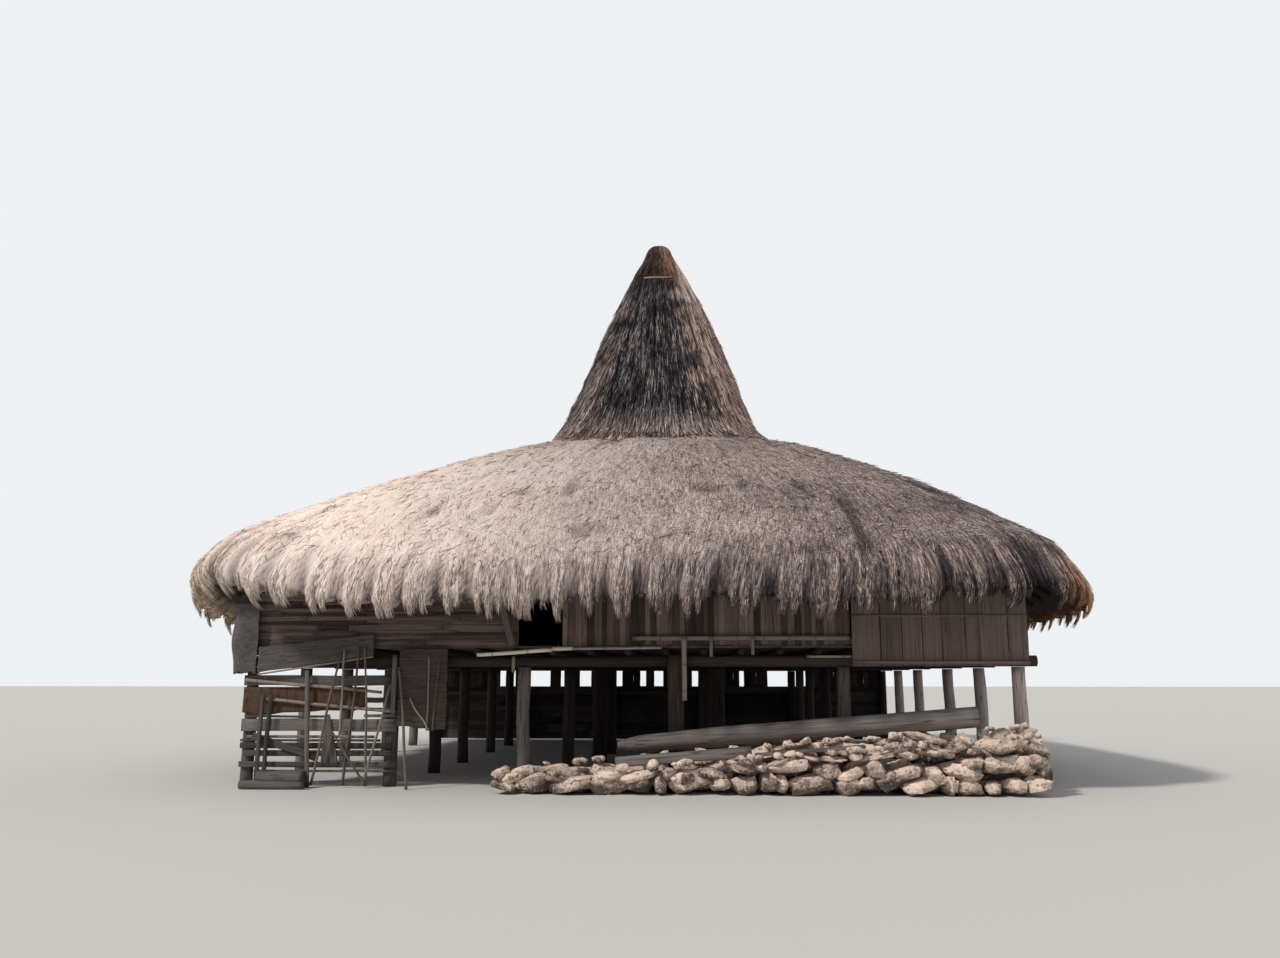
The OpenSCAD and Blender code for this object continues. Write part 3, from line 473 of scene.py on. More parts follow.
def timber(name, colour, stretch=(26, 26, 1.8), own=True, cracks=0.5, spread=0.5, depth=0.006, warm=(1.15, 0.95, 0.8)):
    """Weathered wood: grain stretched along each bar, dark cracks, a chance shade for each bar and warm stains.

    A solid that stays in view has no grain of its own, so its place stands in for it.
    """
    f = Finish(name)
    grain = f.own("grain") if own else f.place()
    streak = f.noise(grain, stretch, 5, 0.62)
    fine = f.noise(grain, tuple(3.1 * s for s in stretch), 2, 0.5)
    stain = f.noise(f.place(), (1.3, 1.3, 1.3))
    crack = f.noise(grain, tuple(s * k for s, k in zip(stretch, (0.8, 0.8, 0.4))), 1)
    crack = 1 - (crack - 0.5).maths("ABSOLUTE").span(0, 0.022)
    value = streak * 0.65 + fine * 0.35
    if own:
        chance, tip, _ = f.split(f.own("tone"))
        value = value + (chance - 0.5) * spread
    dark, low, mid, high = shades(colour, 0.28, 0.62, 1, 1.5)
    base = f.ramp(value.span(0.15, 0.9), (0, dark), (0.3, low), (0.6, mid), (1, high))
    base = f.mix(stain.span(0.5, 0.75) * 0.55, base, f.mix(1, base, warm, "MULTIPLY"))
    base = f.mix(crack * cracks, base, shade(colour, 0.15))
    if own:
        base = f.mix(tip * 0.35, base, shade(colour, 0.45))
    return f.finish(base, 0.82 + (0.5 - fine) * 0.2, value - crack * 0.6, 0.6, depth)


def bamboo(name, colour, ring=0.36):
    """Bamboo: smooth grey-yellow wall with a swollen joint at each ring and fine long scratches."""
    f = Finish(name)
    grain = f.own("grain")
    chance, tip, _ = f.split(f.own("tone"))
    joint = 1 - ((f.split(grain)[2] * (1 / ring)).maths("FRACT") - 0.5).maths("ABSOLUTE").span(0, 0.06)
    streak = f.noise(grain, (60, 60, 1.4), 4)
    patch = f.noise(grain, (9, 9, 2.6))
    dark, low, mid, high = shades(colour, 0.35, 0.7, 1, 1.25)
    value = (streak * 0.5 + patch * 0.5 + (chance - 0.5) * 0.35).span(0.2, 0.8)
    base = f.mix(joint * 0.6, f.ramp(value, (0, low), (0.5, mid), (1, high)), dark)
    base = f.mix(tip * 0.3, base, dark)
    return f.finish(base, 0.55 + streak * 0.25, joint * 0.7 + streak * 0.3, 0.5, 0.006)


def limestone(look):
    """Pale stone: broad patches, pits darkened as painted shade, darker towards the ground, tops paler as painted
    light, and a chance tone for each stone.
    """
    f = Finish("pitted_limestone")
    place = f.place()
    chance, tip, _ = f.split(f.own("tone"))
    broad = f.noise(place, (5, 5, 6), 5, 0.65)
    fine = f.noise(place, (30, 30, 36), 4, 0.7)
    # Painted shade in the pits
    pit = (1 - f.cells(place, (15, 15, 19)).span(0.05, 0.42)) * broad.span(0.42, 0.56)
    # The tip makes each stone's top paler, as painted light
    value = 0.5 + (broad - 0.5) * 2 + (fine - 0.5) * 1.2 + (chance - 0.5) * 0.5 + (tip - 0.5) * 0.7
    # Darker towards the ground
    value = value - (0.14 - f.split(place)[2]).span(0, 0.3) * 0.35
    dark, low, mid, high = shades(look.stone, 0.12, 0.43, 1, 1.3)
    base = f.mix(pit * 0.8, f.ramp(value, (0, dark), (0.28, low), (0.58, mid), (1, high)), dark)
    return f.finish(base, 0.92, broad * 0.5 + fine * 0.5 - pit * 0.5, 1, 0.05)


# Straw: the skirt's and the spire's outer faces, and the clumps that hang from them

def rounded(turn, reach, power):
    """Radius of a rounded square: reach over the power's root of |cos|^power + |sin|^power."""
    return reach / (np.abs(np.cos(turn)) ** power + np.abs(np.sin(turn)) ** power) ** (1 / power)


def clumps(share, down, count, seed, sharp):
    """Hollow between clumps from 0 to 1, the way to the middle of the clump, and a chance value for each clump.

    The hollow is twice the distance from the middle, to the power of sharp, times a depth of its own for each edge.
    """
    place = share * count + 0.7 * wavy(share * count * 0.5, down * 0.5, seed, count // 2)
    clump, edge = np.floor(place).astype(int), np.floor(place + 0.5).astype(int) % count
    inside = place - clump - 0.5
    deep = rng(seed + 1).uniform(0, 1, 512)
    return np.abs(2 * inside) ** sharp * (0.2 + 0.8 * deep[edge]), -inside / count, deep[clump * 7 % count]


def eave_line(turn):
    """Height of the eave's edge, which rises at the corners, and how far the slope rounds over before it."""
    corner = np.abs(np.sin(2 * turn)) ** CORNER_POWER
    rim = EAVE_Z + SIDE_RISE * np.cos(turn) + corner * (CORNER_RISE - CORNER_TILT * np.cos(turn))
    return rim, FALL + corner * (CORNER_FALL + FALL_TILT * np.cos(turn))


def skirt_reach(turn, s):
    """Reach of the plan: from the neck's rounded square at 0 to the eave's at 1, just inside the solids'."""
    return rounded(turn, NECK, NECK_ROUND) * (1 - s) + rounded(turn, EAVE - 0.015, EAVE_ROUND) * s


def skirt_plain(share, down):
    """Skirt before its relief. Down the slope the reach grows from the neck's to the eave's, and the height falls with
    the share to the power of the bow and rounds over near the edge; past it the straw turns down softly and hangs."""
    turn = share * 2 * np.pi
    hang = np.logaddexp(0, 50 * (down / SLOPE - 1)) / 50
    s = np.clip(down / SLOPE - hang, 0, 1)
    hang = hang * SLOPE
    rim, fall = eave_line(turn)
    reach = skirt_reach(turn, s) * (1 - 0.03 * np.clip(hang / 0.5, 0, 1.2) ** 2)
    z = NECK_Z - (NECK_Z - rim - fall) * s ** (BOW + BOW_SIDE * np.cos(turn)) - fall * smooth((s - 0.9) / 0.1) ** 1.5
    return vectors(reach * np.cos(turn) + SPIRE_X * (1 - s), reach * np.sin(turn), z - hang)


def normal_of(surface, share, down):
    """Place and normal, from two short steps along the surface."""
    here = surface(share, down)
    n = np.cross(surface(share + 1e-4, down) - here, surface(share, down + 1e-3) - here)
    return here, -unit(n)


def flow(share, down, way):
    """From a place round the house to the fall line that it lies on with a way of -1, and back with 1.

    Straw lies square to the eave instead of fanning out from the neck: the place turns by the sine of four times its
    angle times the logarithm of the eave's reach over the reach there, held small near the neck, and by nothing at the
    eave.
    """
    reach = NECK + (EAVE - NECK) * np.clip(down / SLOPE, 0, 1)
    lean = 0.35 * np.tanh(np.log(EAVE / reach) / 0.35)
    return share + way * 0.42 * lean * np.sin(8 * np.pi * share) / (2 * np.pi)


def hem_length(share, hollow, chance, look, ragged=0):
    """How far the skin hangs past the eave: less in the gaps and at the left side, more at the front left corner."""
    corner, left = (np.exp(-((share - place) / reach) ** 2) for place, reach in ((0.627, 0.03), (0.53, 0.05)))
    return look.fringe * (0.62 - 0.6 * hollow - 0.12 * chance + ragged) + 0.2 * corner - 0.1 * left


def eave_clumps(share, down, look, hem=0):
    """Gaps of the wide clumps and of the thin ones between them: creases that widen downwards, and a V at the hem."""
    opening = smooth((down / SLOPE - CREASE) / 0.2)
    wide, pull, chance = clumps(share, down, look.clump_count, 11, 5 - (2.8 + hem) * opening)
    thin, small_pull, small_chance = clumps(share, down, look.clump_count * 3, 13, 4 - (2 + 0.8 * hem) * opening)
    swell = share * SWELLS + 0.5
    broad = np.abs(2 * (swell - np.floor(swell)) - 1) ** 2
    hollow = np.clip(wide * 0.78 + thin * 0.5 + broad * 0.1, 0, 1)
    return hollow, pull * 0.35 + small_pull * 0.8, 0.6 * chance + 0.4 * small_chance


def skirt_relief(share, down, look):
    """Lumps, clumps and the hollows between them, in metres along the normal."""
    low = smooth((down / SLOPE - CREASE) / 0.16)
    share = flow(share, down, -1)
    hollow = eave_clumps(share, down, look)[0] * low
    lumps = sum(high * wavy(share * count, down * often, seed, count) for high, count, often, seed in (
        (0.03, 70, 0.8, 1), (0.016, 230, 2, 2), (0.01, 620, 3.4, 3)))
    lumps = np.minimum(lumps, 0.05 * (1 - smooth((down / SLOPE - 0.9) / 0.1)))
    dents = smooth((wavy(share * 170, down * 1.5, 4, 170) - 0.5) / 0.4) * (1 - smooth((down / SLOPE - 0.85) / 0.1))
    # The second value is the hollow, by which the straw is darkened as painted shade, in dents too
    return lumps - 0.03 * dents - look.clump_depth * hollow - 0.012, hollow + 0.3 * dents


def skirt_face(share, down, look, lift=0):
    """The plain skirt moved along its normal by the relief and the lift, that normal, and the hollows."""
    point, n = normal_of(skirt_plain, share, down)
    relief, hollow = skirt_relief(share, down, look)
    return point + n * (relief + lift)[..., None], n, hollow


def under_roof(x, y):
    """Underside of the straw: the lowest of the four planes on the rafters' backs."""
    planes = []
    for inward, run in ((HALF - x, RUN_RIGHT), (HALF + x, RUN_LEFT), (HALF - y, RUN_FRONT), (HALF + y, RUN_FRONT)):
        lean = math.atan2(ROOF_RISE, run)
        planes.append(PLATE_Z + TO_THATCH / math.cos(lean) + inward * math.tan(lean))
    return np.minimum.reduce(planes) + 0.01


def skirt_body(look):
    """The whole skirt as one closed skin: down the outer face, under the hem and back up the underside."""
    around, rows, inner = 1100, 50, 9
    share = np.linspace(0, 1, around, endpoint=False)[:, None]
    hollow, _, chance = eave_clumps(share, np.full_like(share, PAST_EAVE), look, 1)
    hem = hem_length(share, hollow, chance, look, 0.07 * wavy(share * around / 2, 0.5, 5, around // 2))
    down = np.linspace(0, 1, rows)[None] ** 0.7 * (SLOPE + hem)
    outer, _, hollow = skirt_face(np.broadcast_to(share, down.shape), down, look)
    turn = share * 2 * np.pi
    s = np.array([0.955, 0.94, 0.925, *np.linspace(0.88, 0, inner - 3)])[None]
    reach = skirt_reach(turn, s)
    x, y = reach * np.cos(turn) + SPIRE_X * (1 - s), reach * np.sin(turn)
    z = under_roof(x, y)
    z[:, :1] = outer[:, -1:, 2] + 0.01
    z[:, 1:2] = (z[:, :1] + z[:, 2:3]) / 2
    u = 38 * np.concatenate([flow(share, down, -1), np.broadcast_to(share, x.shape)], 1)
    v = np.concatenate([down, np.broadcast_to(SLOPE + 1 + (1 - s) * 5, x.shape)], 1)
    # The underside's hollow passes 1, which gives it painted shade
    inside = np.interp(np.arange(inner), [0, 2], [0.3, 2])
    dark = np.concatenate([hollow, np.broadcast_to(inside, x.shape)], 1)
    return torus(np.concatenate([outer, vectors(x, y, z)], 1), vectors(u, v, 0), vectors(0.5, 0, dark))


def strands(face, share, start, length, drift, sunk, raised, wide, chance, tip, seed):
    """Straws on a face: each runs down it from its start, sunk there, drifts sideways, is raised at its tip and ends in
    a point.

    Two rings of three corners between two points; the section is as wide as wide, and half as thick.
    """
    n = len(share)
    t = np.array([0, 0.36, 0.8, 1])
    sunk = np.broadcast_to(sunk, n)
    points, normals, hollow = face(
        share[:, None] + drift[:, None] * t ** 1.4, start[:, None] + length[:, None] * t,
        sunk[:, None] + (raised - sunk)[:, None] * t ** 1.5)
    side = unit(np.cross(unit(np.gradient(points, axis=1)), normals))
    corner = np.array([[-0.5, 0], [0.5, 0], [0, 0.5]])
    size = (wide[:, None] * np.array([1, 0.62]))[..., None]
    rings = points[:, 1:3, None] + side[:, 1:3, None] * (corner[:, 0] * size)[..., None]
    rings = rings + normals[:, 1:3, None] * (corner[:, 1] * size)[..., None]
    along = length[:, None] * t
    base = rng(seed).uniform(0, 40, (n, 1, 1))
    grain = vectors(base + corner[:, 0] * size, along[:, 1:3, None] + base * 3, 0)
    end_grain = vectors(base[:, 0], along[:, ::3] + base[:, 0] * 3, 0)
    # The face's hollow goes into the tone, darkening the straws as painted shade
    tone = vectors(chance[:, None, None], (tip[:, None] * t[1:3])[..., None] * np.ones(3), hollow[:, 1:3, None] * 0.85)
    return tubes(rings, points[:, ::3], grain, tone, end_grain)


def on_skirt(look):
    """The skirt's face for straws, whose place is told at the eave that their fall line ends at."""
    return lambda share, down, lift: skirt_face(flow(share, down, 1), down, look, lift)


def slope_straws(look, count):
    """Loose straws all over the slope, as dense at the neck as at the eave."""
    draw = rng(21)
    share = draw.uniform(0, 1, count)
    s = (np.sqrt(draw.uniform(2.3 ** 2, 7 ** 2, count)) - 2.3) / 4.7
    length = draw.uniform(0.5, 1.5, count) * look.straw_length
    drift = draw.normal(0, 0.0026, count)
    raised = draw.uniform(0, 0.04, count)
    wide = look.straw_width * draw.uniform(0.55, 1.2, count)
    chance, tip = draw.uniform(0, 1, count), draw.uniform(0.1, 0.7, count)
    return strands(on_skirt(look), share, s * SLOPE * 0.9, length, drift, -0.012, raised, wide, chance, tip, 22)


def eave_places(look, draw, count, tries, kept, low, high):
    """Chance places round the eave with their hollow, pull and clump's chance.

    Of tries for each, the first are taken whose hollow is kept by its comparison with a chance limit from low to high.
    """
    share = draw.uniform(0, 1, count * tries)
    values = eave_clumps(share, np.full(len(share), PAST_EAVE), look, 1)
    taken = np.flatnonzero(kept(values[0], draw.uniform(low, high, len(share))))[:count]
    return [value[taken] for value in (share, *values)]


def fringe_straws(look, count):
    """Straws that hang from the eave, drawn together into pointed clumps; each ends at its clump's outline."""
    draw = rng(31)
    share, hollow, pull, chance = eave_places(look, draw, count, 3, np.less, 0.03, 0.5)
    count = len(share)
    start = SLOPE + draw.uniform(-1, 0.2, count)
    room = SLOPE + hem_length(share, hollow, chance, look, 0.44 - 0.35 * hollow - 0.14 * chance) - start
    length = np.clip(draw.uniform(0.25, 1.05, count) * (0.5 + room), 0.16, room)
    drift = pull * draw.uniform(0.35, 1, count) + draw.normal(0, 0.0006, count)
    raised = draw.uniform(0, 0.035, count)
    wide = look.straw_width * draw.uniform(0.55, 1.5, count)
    chance, tip = draw.uniform(0, 1, count), draw.uniform(0.3, 1, count)
    return strands(on_skirt(look), share, start, length, drift, -0.015, raised, wide, chance, tip, 32)


def hem_straws(look, count):
    """Short shaded straws that fray the body's hem in the gaps between the clumps."""
    draw = rng(35)
    share, hollow, _, chance = eave_places(look, draw, count, 6, np.greater, 0.05, 0.7)
    count = len(share)
    hem = SLOPE + hem_length(share, hollow, chance, look)
    start = hem - draw.uniform(0.1, 0.3, count)
    length = hem + draw.uniform(-0.02, 0.13, count) - start
    raised = draw.uniform(-0.03, 0.015, count)
    wide = look.straw_width * draw.uniform(0.8, 1.8, count)
    drift = draw.normal(0, 0.0009, count)
    chance, tip = draw.uniform(0, 0.6, count), draw.uniform(0, 0.3, count)
    return strands(on_skirt(look), share, start, length, drift, -0.035, raised, wide, chance, tip, 36)


def spire_curve(s):
    """Half width of the spire: 120 mm plus the rest times (1 - s)^0.693, and drawn in towards the foot."""
    return SLIM + (NECK - SLIM) * (1 - s) ** CURVE + 0.135 * (np.exp(-s / 0.12) - 1)


def spire_plain(share, down):
    """Spire before its relief: the curve with a flare at the foot, a dome on top and sides that sink in between."""
    turn = share * 2 * np.pi
    s = np.clip(1 - down / SPIRE_H, -0.08, 1)
    low = np.clip(s, 0, 1)
    reach = spire_curve(low) + 0.035 * np.exp(-low / 0.04) + np.maximum(-s, 0) * 4.3
    cap = 13 / 14
    dome = 0.299 * np.sqrt(np.clip(1 - ((s - cap) / (1 - cap)) ** 2, 0, 1))
    reach = np.where(s > cap, dome, reach) - (0.06 - 0.035 * np.cos(turn)) * np.sin(np.pi * low)
    r = rounded(turn, reach, NECK_ROUND)
    return vectors(r * np.cos(turn) + SPIRE_X, r * np.sin(turn), NECK_Z + SPIRE_H * np.where(s < 0, 0.3 * s, s))


def spire_relief(share, down, look):
    """Hanging clumps in loose courses: each clump swells towards its own lower edge, and clumps part in hollows that
    are darkened as painted shade, as is the straw just under each course's edge.

    Every course has its own number of clumps, fewer where the spire is slim, and its own turn, so none line up.
    """
    wander = 0.45 * wavy(share * 24, down * 0.7, 41, 24) + 0.3 * wavy(share * 90, down * 0.3, 42, 90)
    course = down / look.course + 0.5 + wander
    index = np.floor(course).astype(int)
    step = course - index
    slim = np.clip((index + 0.5) * look.course / SPIRE_H, 0.25, 1) ** 0.6
    count = 2 * np.round(look.spire_clumps * slim / 2).astype(int)
    turned = share + rng(47).uniform(0, 1, 64)[index % 64]
    hollow, pull, _ = clumps(turned, down * 0.6, count, 43, 1.8)
    thin, small_pull, _ = clumps(turned, down * 0.9, 3 * count, 48, 1.6)
    grown = smooth(down / 0.9)
    lumps = 0.03 * wavy(share * 40, down * 1.3, 44, 40) + 0.018 * wavy(share * 150, down * 1.8, 45, 150)
    dark = np.clip(hollow * (0.35 + 0.65 * smooth((step - 0.2) / 0.6)) + 0.35 * thin, 0, 1)
    relief = (0.045 * step * (1 - 0.5 * hollow) + lumps - 0.06 * dark) * grown * np.clip(down / SPIRE_H, 0.12, 1) ** 0.5
    # Painted shade under each course's lower edge
    under = smooth((0.12 - step) / 0.12) * smooth((wavy(share * 30, down * 0.5, 46, 30) + 0.3) / 0.6)
    # The hollow given back here is painted shade, fading out near the foot
    dark = np.clip(dark + 0.5 * under, 0, 1) * grown * (1 - smooth((down - SPIRE_H + 0.5) / 0.4))
    sunk = 0.06 * smooth((down - SPIRE_H) / 0.12)
    return np.minimum(relief - 0.015, 0.03) - sunk, dark, pull * 0.6 + small_pull


def spire_face(share, down, look, lift=0):
    """The plain spire moved along its normal by the relief and the lift, that normal, and the hollows."""
    point, n = normal_of(spire_plain, share, down)
    relief, hollow, _ = spire_relief(share, down, look)
    return point + n * (relief + lift)[..., None], n, hollow


def spire_body(look):
    """The spire as one closed skin: from the tip down the outside, under the foot and up inside to the hollow's top."""
    around, rows, inner = 420, 120, 9
    share = np.linspace(0, 1, around, endpoint=False)[None]
    down = np.linspace(0.03, SPIRE_H + 0.16, rows)[:, None]
    outer, _, hollow = spire_face(*np.broadcast_arrays(share, down), look)
    s = np.linspace(0, 0.84, inner)[:, None]
    turn = share * 2 * np.pi
    r = rounded(turn, np.maximum(spire_curve(s) - 0.33, 0.1), NECK_ROUND)
    inside = vectors(r * np.cos(turn) + SPIRE_X, r * np.sin(turn), NECK_Z + SPIRE_H * s)
    x, y, z = inside[0].T
    inside[0, :, 2] = np.minimum(z - 0.1, under_roof(x, y) + 0.03)
    ends = np.array([[[SPIRE_X, 0, TIP_Z - 0.03], [SPIRE_X, 0, NECK_Z + SPIRE_H * 0.86]]])
    grain = vectors(share * 7, np.concatenate([down, 6 + s]), 0)
    # The hollow in the tone darkens the spire as painted shade
    tone = vectors(0.45, 0, np.concatenate([hollow, np.full(r.shape, 0.8)]))
    return tubes(np.concatenate([outer, inside])[None], ends, grain[None], tone[None])


def spire_straws(look, count):
    """Straws of the spire, drawn into clumps, most of them ending at the lower edge of a course."""
    draw = rng(51)
    share = draw.uniform(0, 1, count)
    down = SPIRE_H * draw.uniform(0, 1, count) ** 0.62
    length = draw.uniform(0.4, 1.1, count) * look.course
    start = np.clip(down - 0.2, 0.03, None)
    length = np.minimum(length, SPIRE_H + draw.uniform(0.05, 0.34, count) - start)
    pull = spire_relief(share, start + length, look)[2]
    drift = pull * draw.uniform(0.1, 0.7, count) + draw.normal(0, 0.0022, count)
    foot = 0.07 * smooth((down - SPIRE_H + 0.4) / 0.35)
    raised = draw.uniform(0, 0.06, count) * np.clip(down / 2, 0.35, 1) + foot
    wide = look.straw_width * draw.uniform(0.7, 1.9, count) * np.clip(down / 2, 0.5, 1)
    chance, tip = draw.uniform(0, 1, count), draw.uniform(0.2, 0.9, count)
    face = lambda share, down, lift: spire_face(share, down, look, lift)
    return strands(face, share, start, length, drift, foot * 0.4 - 0.012, raised, wide, chance, tip, 52)


# Timber, boards and poles

def posts_at(places, top, width, seed, low=0):
    """Upright round posts with a little bend, one at each place from low to the top."""
    p = np.array(places, float)
    a, b = vectors(*p.T, low), vectors(*p.T, top)
    return bars(a, b, np.asarray(width) * 0.97, X_WAY, seed, sides=14, bow=0.018, taper=0.93)


def board_edges(low, high, width, spread, draw):
    """Edges of boards side by side from low to high, each as wide as chance gives it within the spread."""
    n = max(1, round((high - low) / width))
    edges = np.concatenate([[0], np.cumsum(draw.uniform(1 - spread, 1 + spread, n))])
    return n, low + (high - low) * edges / edges[-1]


def upright_wall(x0, x1, y, z0, z1, width, seed, ragged=0, way=X_WAY, lap=1.02):
    """Boards side by side along X or Y, each with its own width, foot and depth."""
    draw = rng(seed)
    n, edges = board_edges(x0, x1, width, 0.4, draw)
    middle, wide = (edges[1:] + edges[:-1]) / 2, np.diff(edges) * lap
    depth = y + (np.arange(n) % 2 - 0.5 + draw.uniform(-0.3, 0.3, n)) * BOARD * 0.28
    low = z0 + draw.uniform(0, 1, n) ** 2 * ragged
    place = (middle, depth) if way == X_WAY else (depth, middle)
    return bars(vectors(*place, low), vectors(*place, z1), wide, way, seed, 5, square=7, rough=0.03, thick=BOARD * 0.72)


def lying_wall(x0, x1, y, z0, z1, height, seed, seams, over=1.05, lap=0.03):
    """Slats one above another along X, overlapping, each in lengths that lap over each other at chance places."""
    draw = rng(seed)
    n, edges = board_edges(z0, z1, height, 0.45, draw)
    z, tall = (edges[1:] + edges[:-1]) / 2, np.diff(edges) * over
    z[0] += tall[0] * (over - 1) / 2
    z[-1] -= tall[-1] * (over - 1) / 2
    cuts = [np.full(n, x0), *(x0 + (x1 - x0) * (seam + draw.uniform(-0.09, 0.09, n)) for seam in seams), np.full(n, x1)]
    row = np.arange(n)
    a, b = [], []
    for k in range(len(seams) + 1):
        depth = y + ((row + k) % 2 - 0.5 + draw.uniform(-0.3, 0.3, n)) * BOARD * 0.28
        tilt = draw.uniform(-0.006, 0.006, n) * (row > 0) * (row < n - 1)
        a.append(vectors(cuts[k] - lap * (k > 0), depth, z - tilt))
        b.append(vectors(cuts[k + 1] + lap * (k < len(seams)), depth, z + tilt))
    a, b, tall = np.concatenate(a), np.concatenate(b), np.tile(tall, len(a))
    return bars(a, b, tall, Z_WAY, seed, 7, square=6, rough=0.03, thick=BOARD * 0.6)


def pen(u, v):
    """X and Z at a share of the pen's width and of the posts' height."""
    return PEN_LEFT + u * (PEN_RIGHT - PEN_LEFT), v * POST_TOP


# The pen's lying boards: both ends as shares of its width, both edges as shares of the posts' height
PEN_BOARDS = (
    (0, 1, 0.16, 0.207), (0.03, 0.99, 0.25, 0.3), (0, 0.97, 0.315, 0.365), (0, 1, 0.458, 0.561), (0, 0.96, 0.842, 0.93),
    (0.04, 0.86, 0.4, 0.425), (0, 0.9, 0.372, 0.392), (0.1, 1, 0.12, 0.14), (0.02, 0.55, 0.572, 0.592),
    (0.78, 1, 0.7, 0.745), (0.8, 0.98, 0.63, 0.66), (0.79, 1, 0.575, 0.6))
# Its sticks: foot and head, the layer that each lies in from the boards outwards, and its width
HANG_X, HANG_Z, HANG_TOP = -2.7938, 0.47 * POST_TOP, 1.1 * POST_TOP
PEN_STICKS = (
    (pen(0.655, 0.43), pen(0.66, 1.15), 0, 0.04), (pen(0.49, 0.02), pen(0.635, 1.12), 0, 0.043),
    (pen(0.69, 0.02), pen(0.755, 1.18), 0, 0.043), (pen(0.84, 0.02), pen(0.79, 1.18), 0, 0.04),
    (pen(0.82, 0.02), pen(0.97, 0.85), 0.0453, 0.043), (pen(0.85, 0.02), pen(0.6, 0.5), 0.0906, 0.038),
    ((HANG_X, HANG_Z), (HANG_X, HANG_TOP), 0, 0.03), ((HANG_X + 0.085, HANG_Z), (HANG_X + 0.163, HANG_TOP), 0, 0.03),
    ((HANG_X + 0.043, HANG_Z), (HANG_X - 0.241, 0.74 * POST_TOP), 0.04242, 0.03))


def rotation(angle, i, j):
    """Matrices that turn by each angle from axis i towards axis j."""
    turn = np.tile(np.eye(3), (len(angle), 1, 1))
    turn[:, i, i] = turn[:, j, j] = np.cos(angle)
    turn[:, j, i] = np.sin(angle)
    turn[:, i, j] = -turn[:, j, i]
    return turn


def stones(centres, sizes, seed, rows=5, sides=9, cuts=9):
    """Rubble: each stone is what random flat cuts leave of a ball, dented by noise and turned at random.

    Along a direction the reach is the least of the ball's own and of each cut's distance over its cosine.
    """
    draw = rng(seed)
    n = len(centres)
    lat = np.linspace(-np.pi / 2, np.pi / 2, rows + 2)[1:-1, None]
    lon = np.linspace(0, 2 * np.pi, sides, endpoint=False)
    ball = vectors(np.cos(lat) * np.cos(lon), np.cos(lat) * np.sin(lon), np.sin(lat)).reshape(-1, 3)
    ball = np.concatenate([ball, [[0, 0, -1], [0, 0, 1]]])
    faces = unit(draw.normal(0, 1, (n, cuts, 3)))
    faces[:, :6] = unit(np.concatenate([np.eye(3), -np.eye(3)])[None] + draw.normal(0, 0.3, (n, 6, 3)))
    slope = np.einsum("nkc,pc->nkp", faces, ball)
    reach = draw.uniform(0.64, 0.96, (n, cuts, 1)) / np.maximum(slope, 0.05)
    reach = np.minimum(reach.min(1), 1.28)
    offset = draw.uniform(0, 60, (n, 1))
    x, y, z = ball.T
    reach = reach * (1 + 0.09 * wavy(x * 2.6 + z * 2.1 + offset, y * 2.9 + offset, seed))
    roll, yaw = draw.uniform(-0.3, 0.3, n), draw.uniform(-0.6, 0.6, n)
    shape = ball * reach[..., None] * (sizes / 2)[:, None]
    place = np.einsum("nij,npj->npi", rotation(yaw, 0, 1) @ rotation(roll, 2, 0), shape) + centres[:, None]
    rings, ends = place[:, :-2].reshape(n, rows, sides, 3), place[:, -2:]
    # The tone's tip is the height on each stone, which paints light on its top
    tone = vectors(draw.uniform(0, 1, (n, 1, 1)), np.sin(lat) * 0.5 + 0.5, 0 * rings[..., 0])
    return tubes(rings, ends, rings, tone, ends)


def sill_top(x, drop=0):
    """Top of the sill, which rises evenly from left to right; the front step lies lower by the drop."""
    return SILL_LOW + SILL_SLOPE * (x - SILL_LEFT) - drop


def rubble(size):
    """Middles and sizes of the stones: on each step, layers of stones of chance widths, and small ones on top."""
    draw = rng(211)
    tall = 0.72 * size
    cells = []
    for front, back, drop, rows in ((SILL_FRONT, SILL_MID, STEP_DROP, 1), (SILL_MID, SILL_BACK, 0, 2)):
        deep = (back - front) / rows
        for layer in range(5):
            for row in range(rows):
                x = SILL_LEFT
                while x < SILL_RIGHT - 0.12:
                    wide = min(size * draw.uniform(0.45, 2.2), SILL_RIGHT - x)
                    middle = x + wide / 2
                    low = max(tall * (layer + 0.5 * float(wavy(x * 1.6, layer * 3 + row, 213))), 0)
                    high = low + tall * draw.uniform(0.85, 1.45)
                    high = min(high, sill_top(middle, drop) + draw.uniform(-0.09, 0))
                    if high - low > 0.06:
                        place = (middle, front + (row + 0.5) * deep, (low + high) / 2)
                        cells.append((*place, wide * 1.12, deep * 1.12, (high - low) * 1.12))
                    x += wide
    spots = 70
    x = draw.uniform(SILL_LEFT + 0.1, SILL_RIGHT - 0.15, spots)
    front = draw.integers(0, 2, spots) == 0
    y = np.where(front, SILL_FRONT + 0.07, SILL_MID + 0.05) + draw.uniform(-0.02, 0.03, spots)
    small = draw.uniform(0.07, 0.15, spots)
    z = sill_top(x, np.where(front, STEP_DROP, 0)) - small * 0.05
    cells = np.concatenate([np.array(cells), np.column_stack([x, y, z, small * 1.3, small, small * 0.8])])
    centres = cells[:, :3] + draw.uniform(-1, 1, (len(cells), 3)) * [0.02, 0.012, 0.015]
    sizes = cells[:, 3:]
    for axis, low, high in ((0, SILL_LEFT, SILL_RIGHT), (1, SILL_FRONT, SILL_BACK)):
        centres[:, axis] = np.clip(centres[:, axis], low + sizes[:, axis] * 0.5, high - sizes[:, axis] * 0.5)
    centres[:, 2] = np.maximum(centres[:, 2], sizes[:, 2] * 0.42)
    return centres, sizes


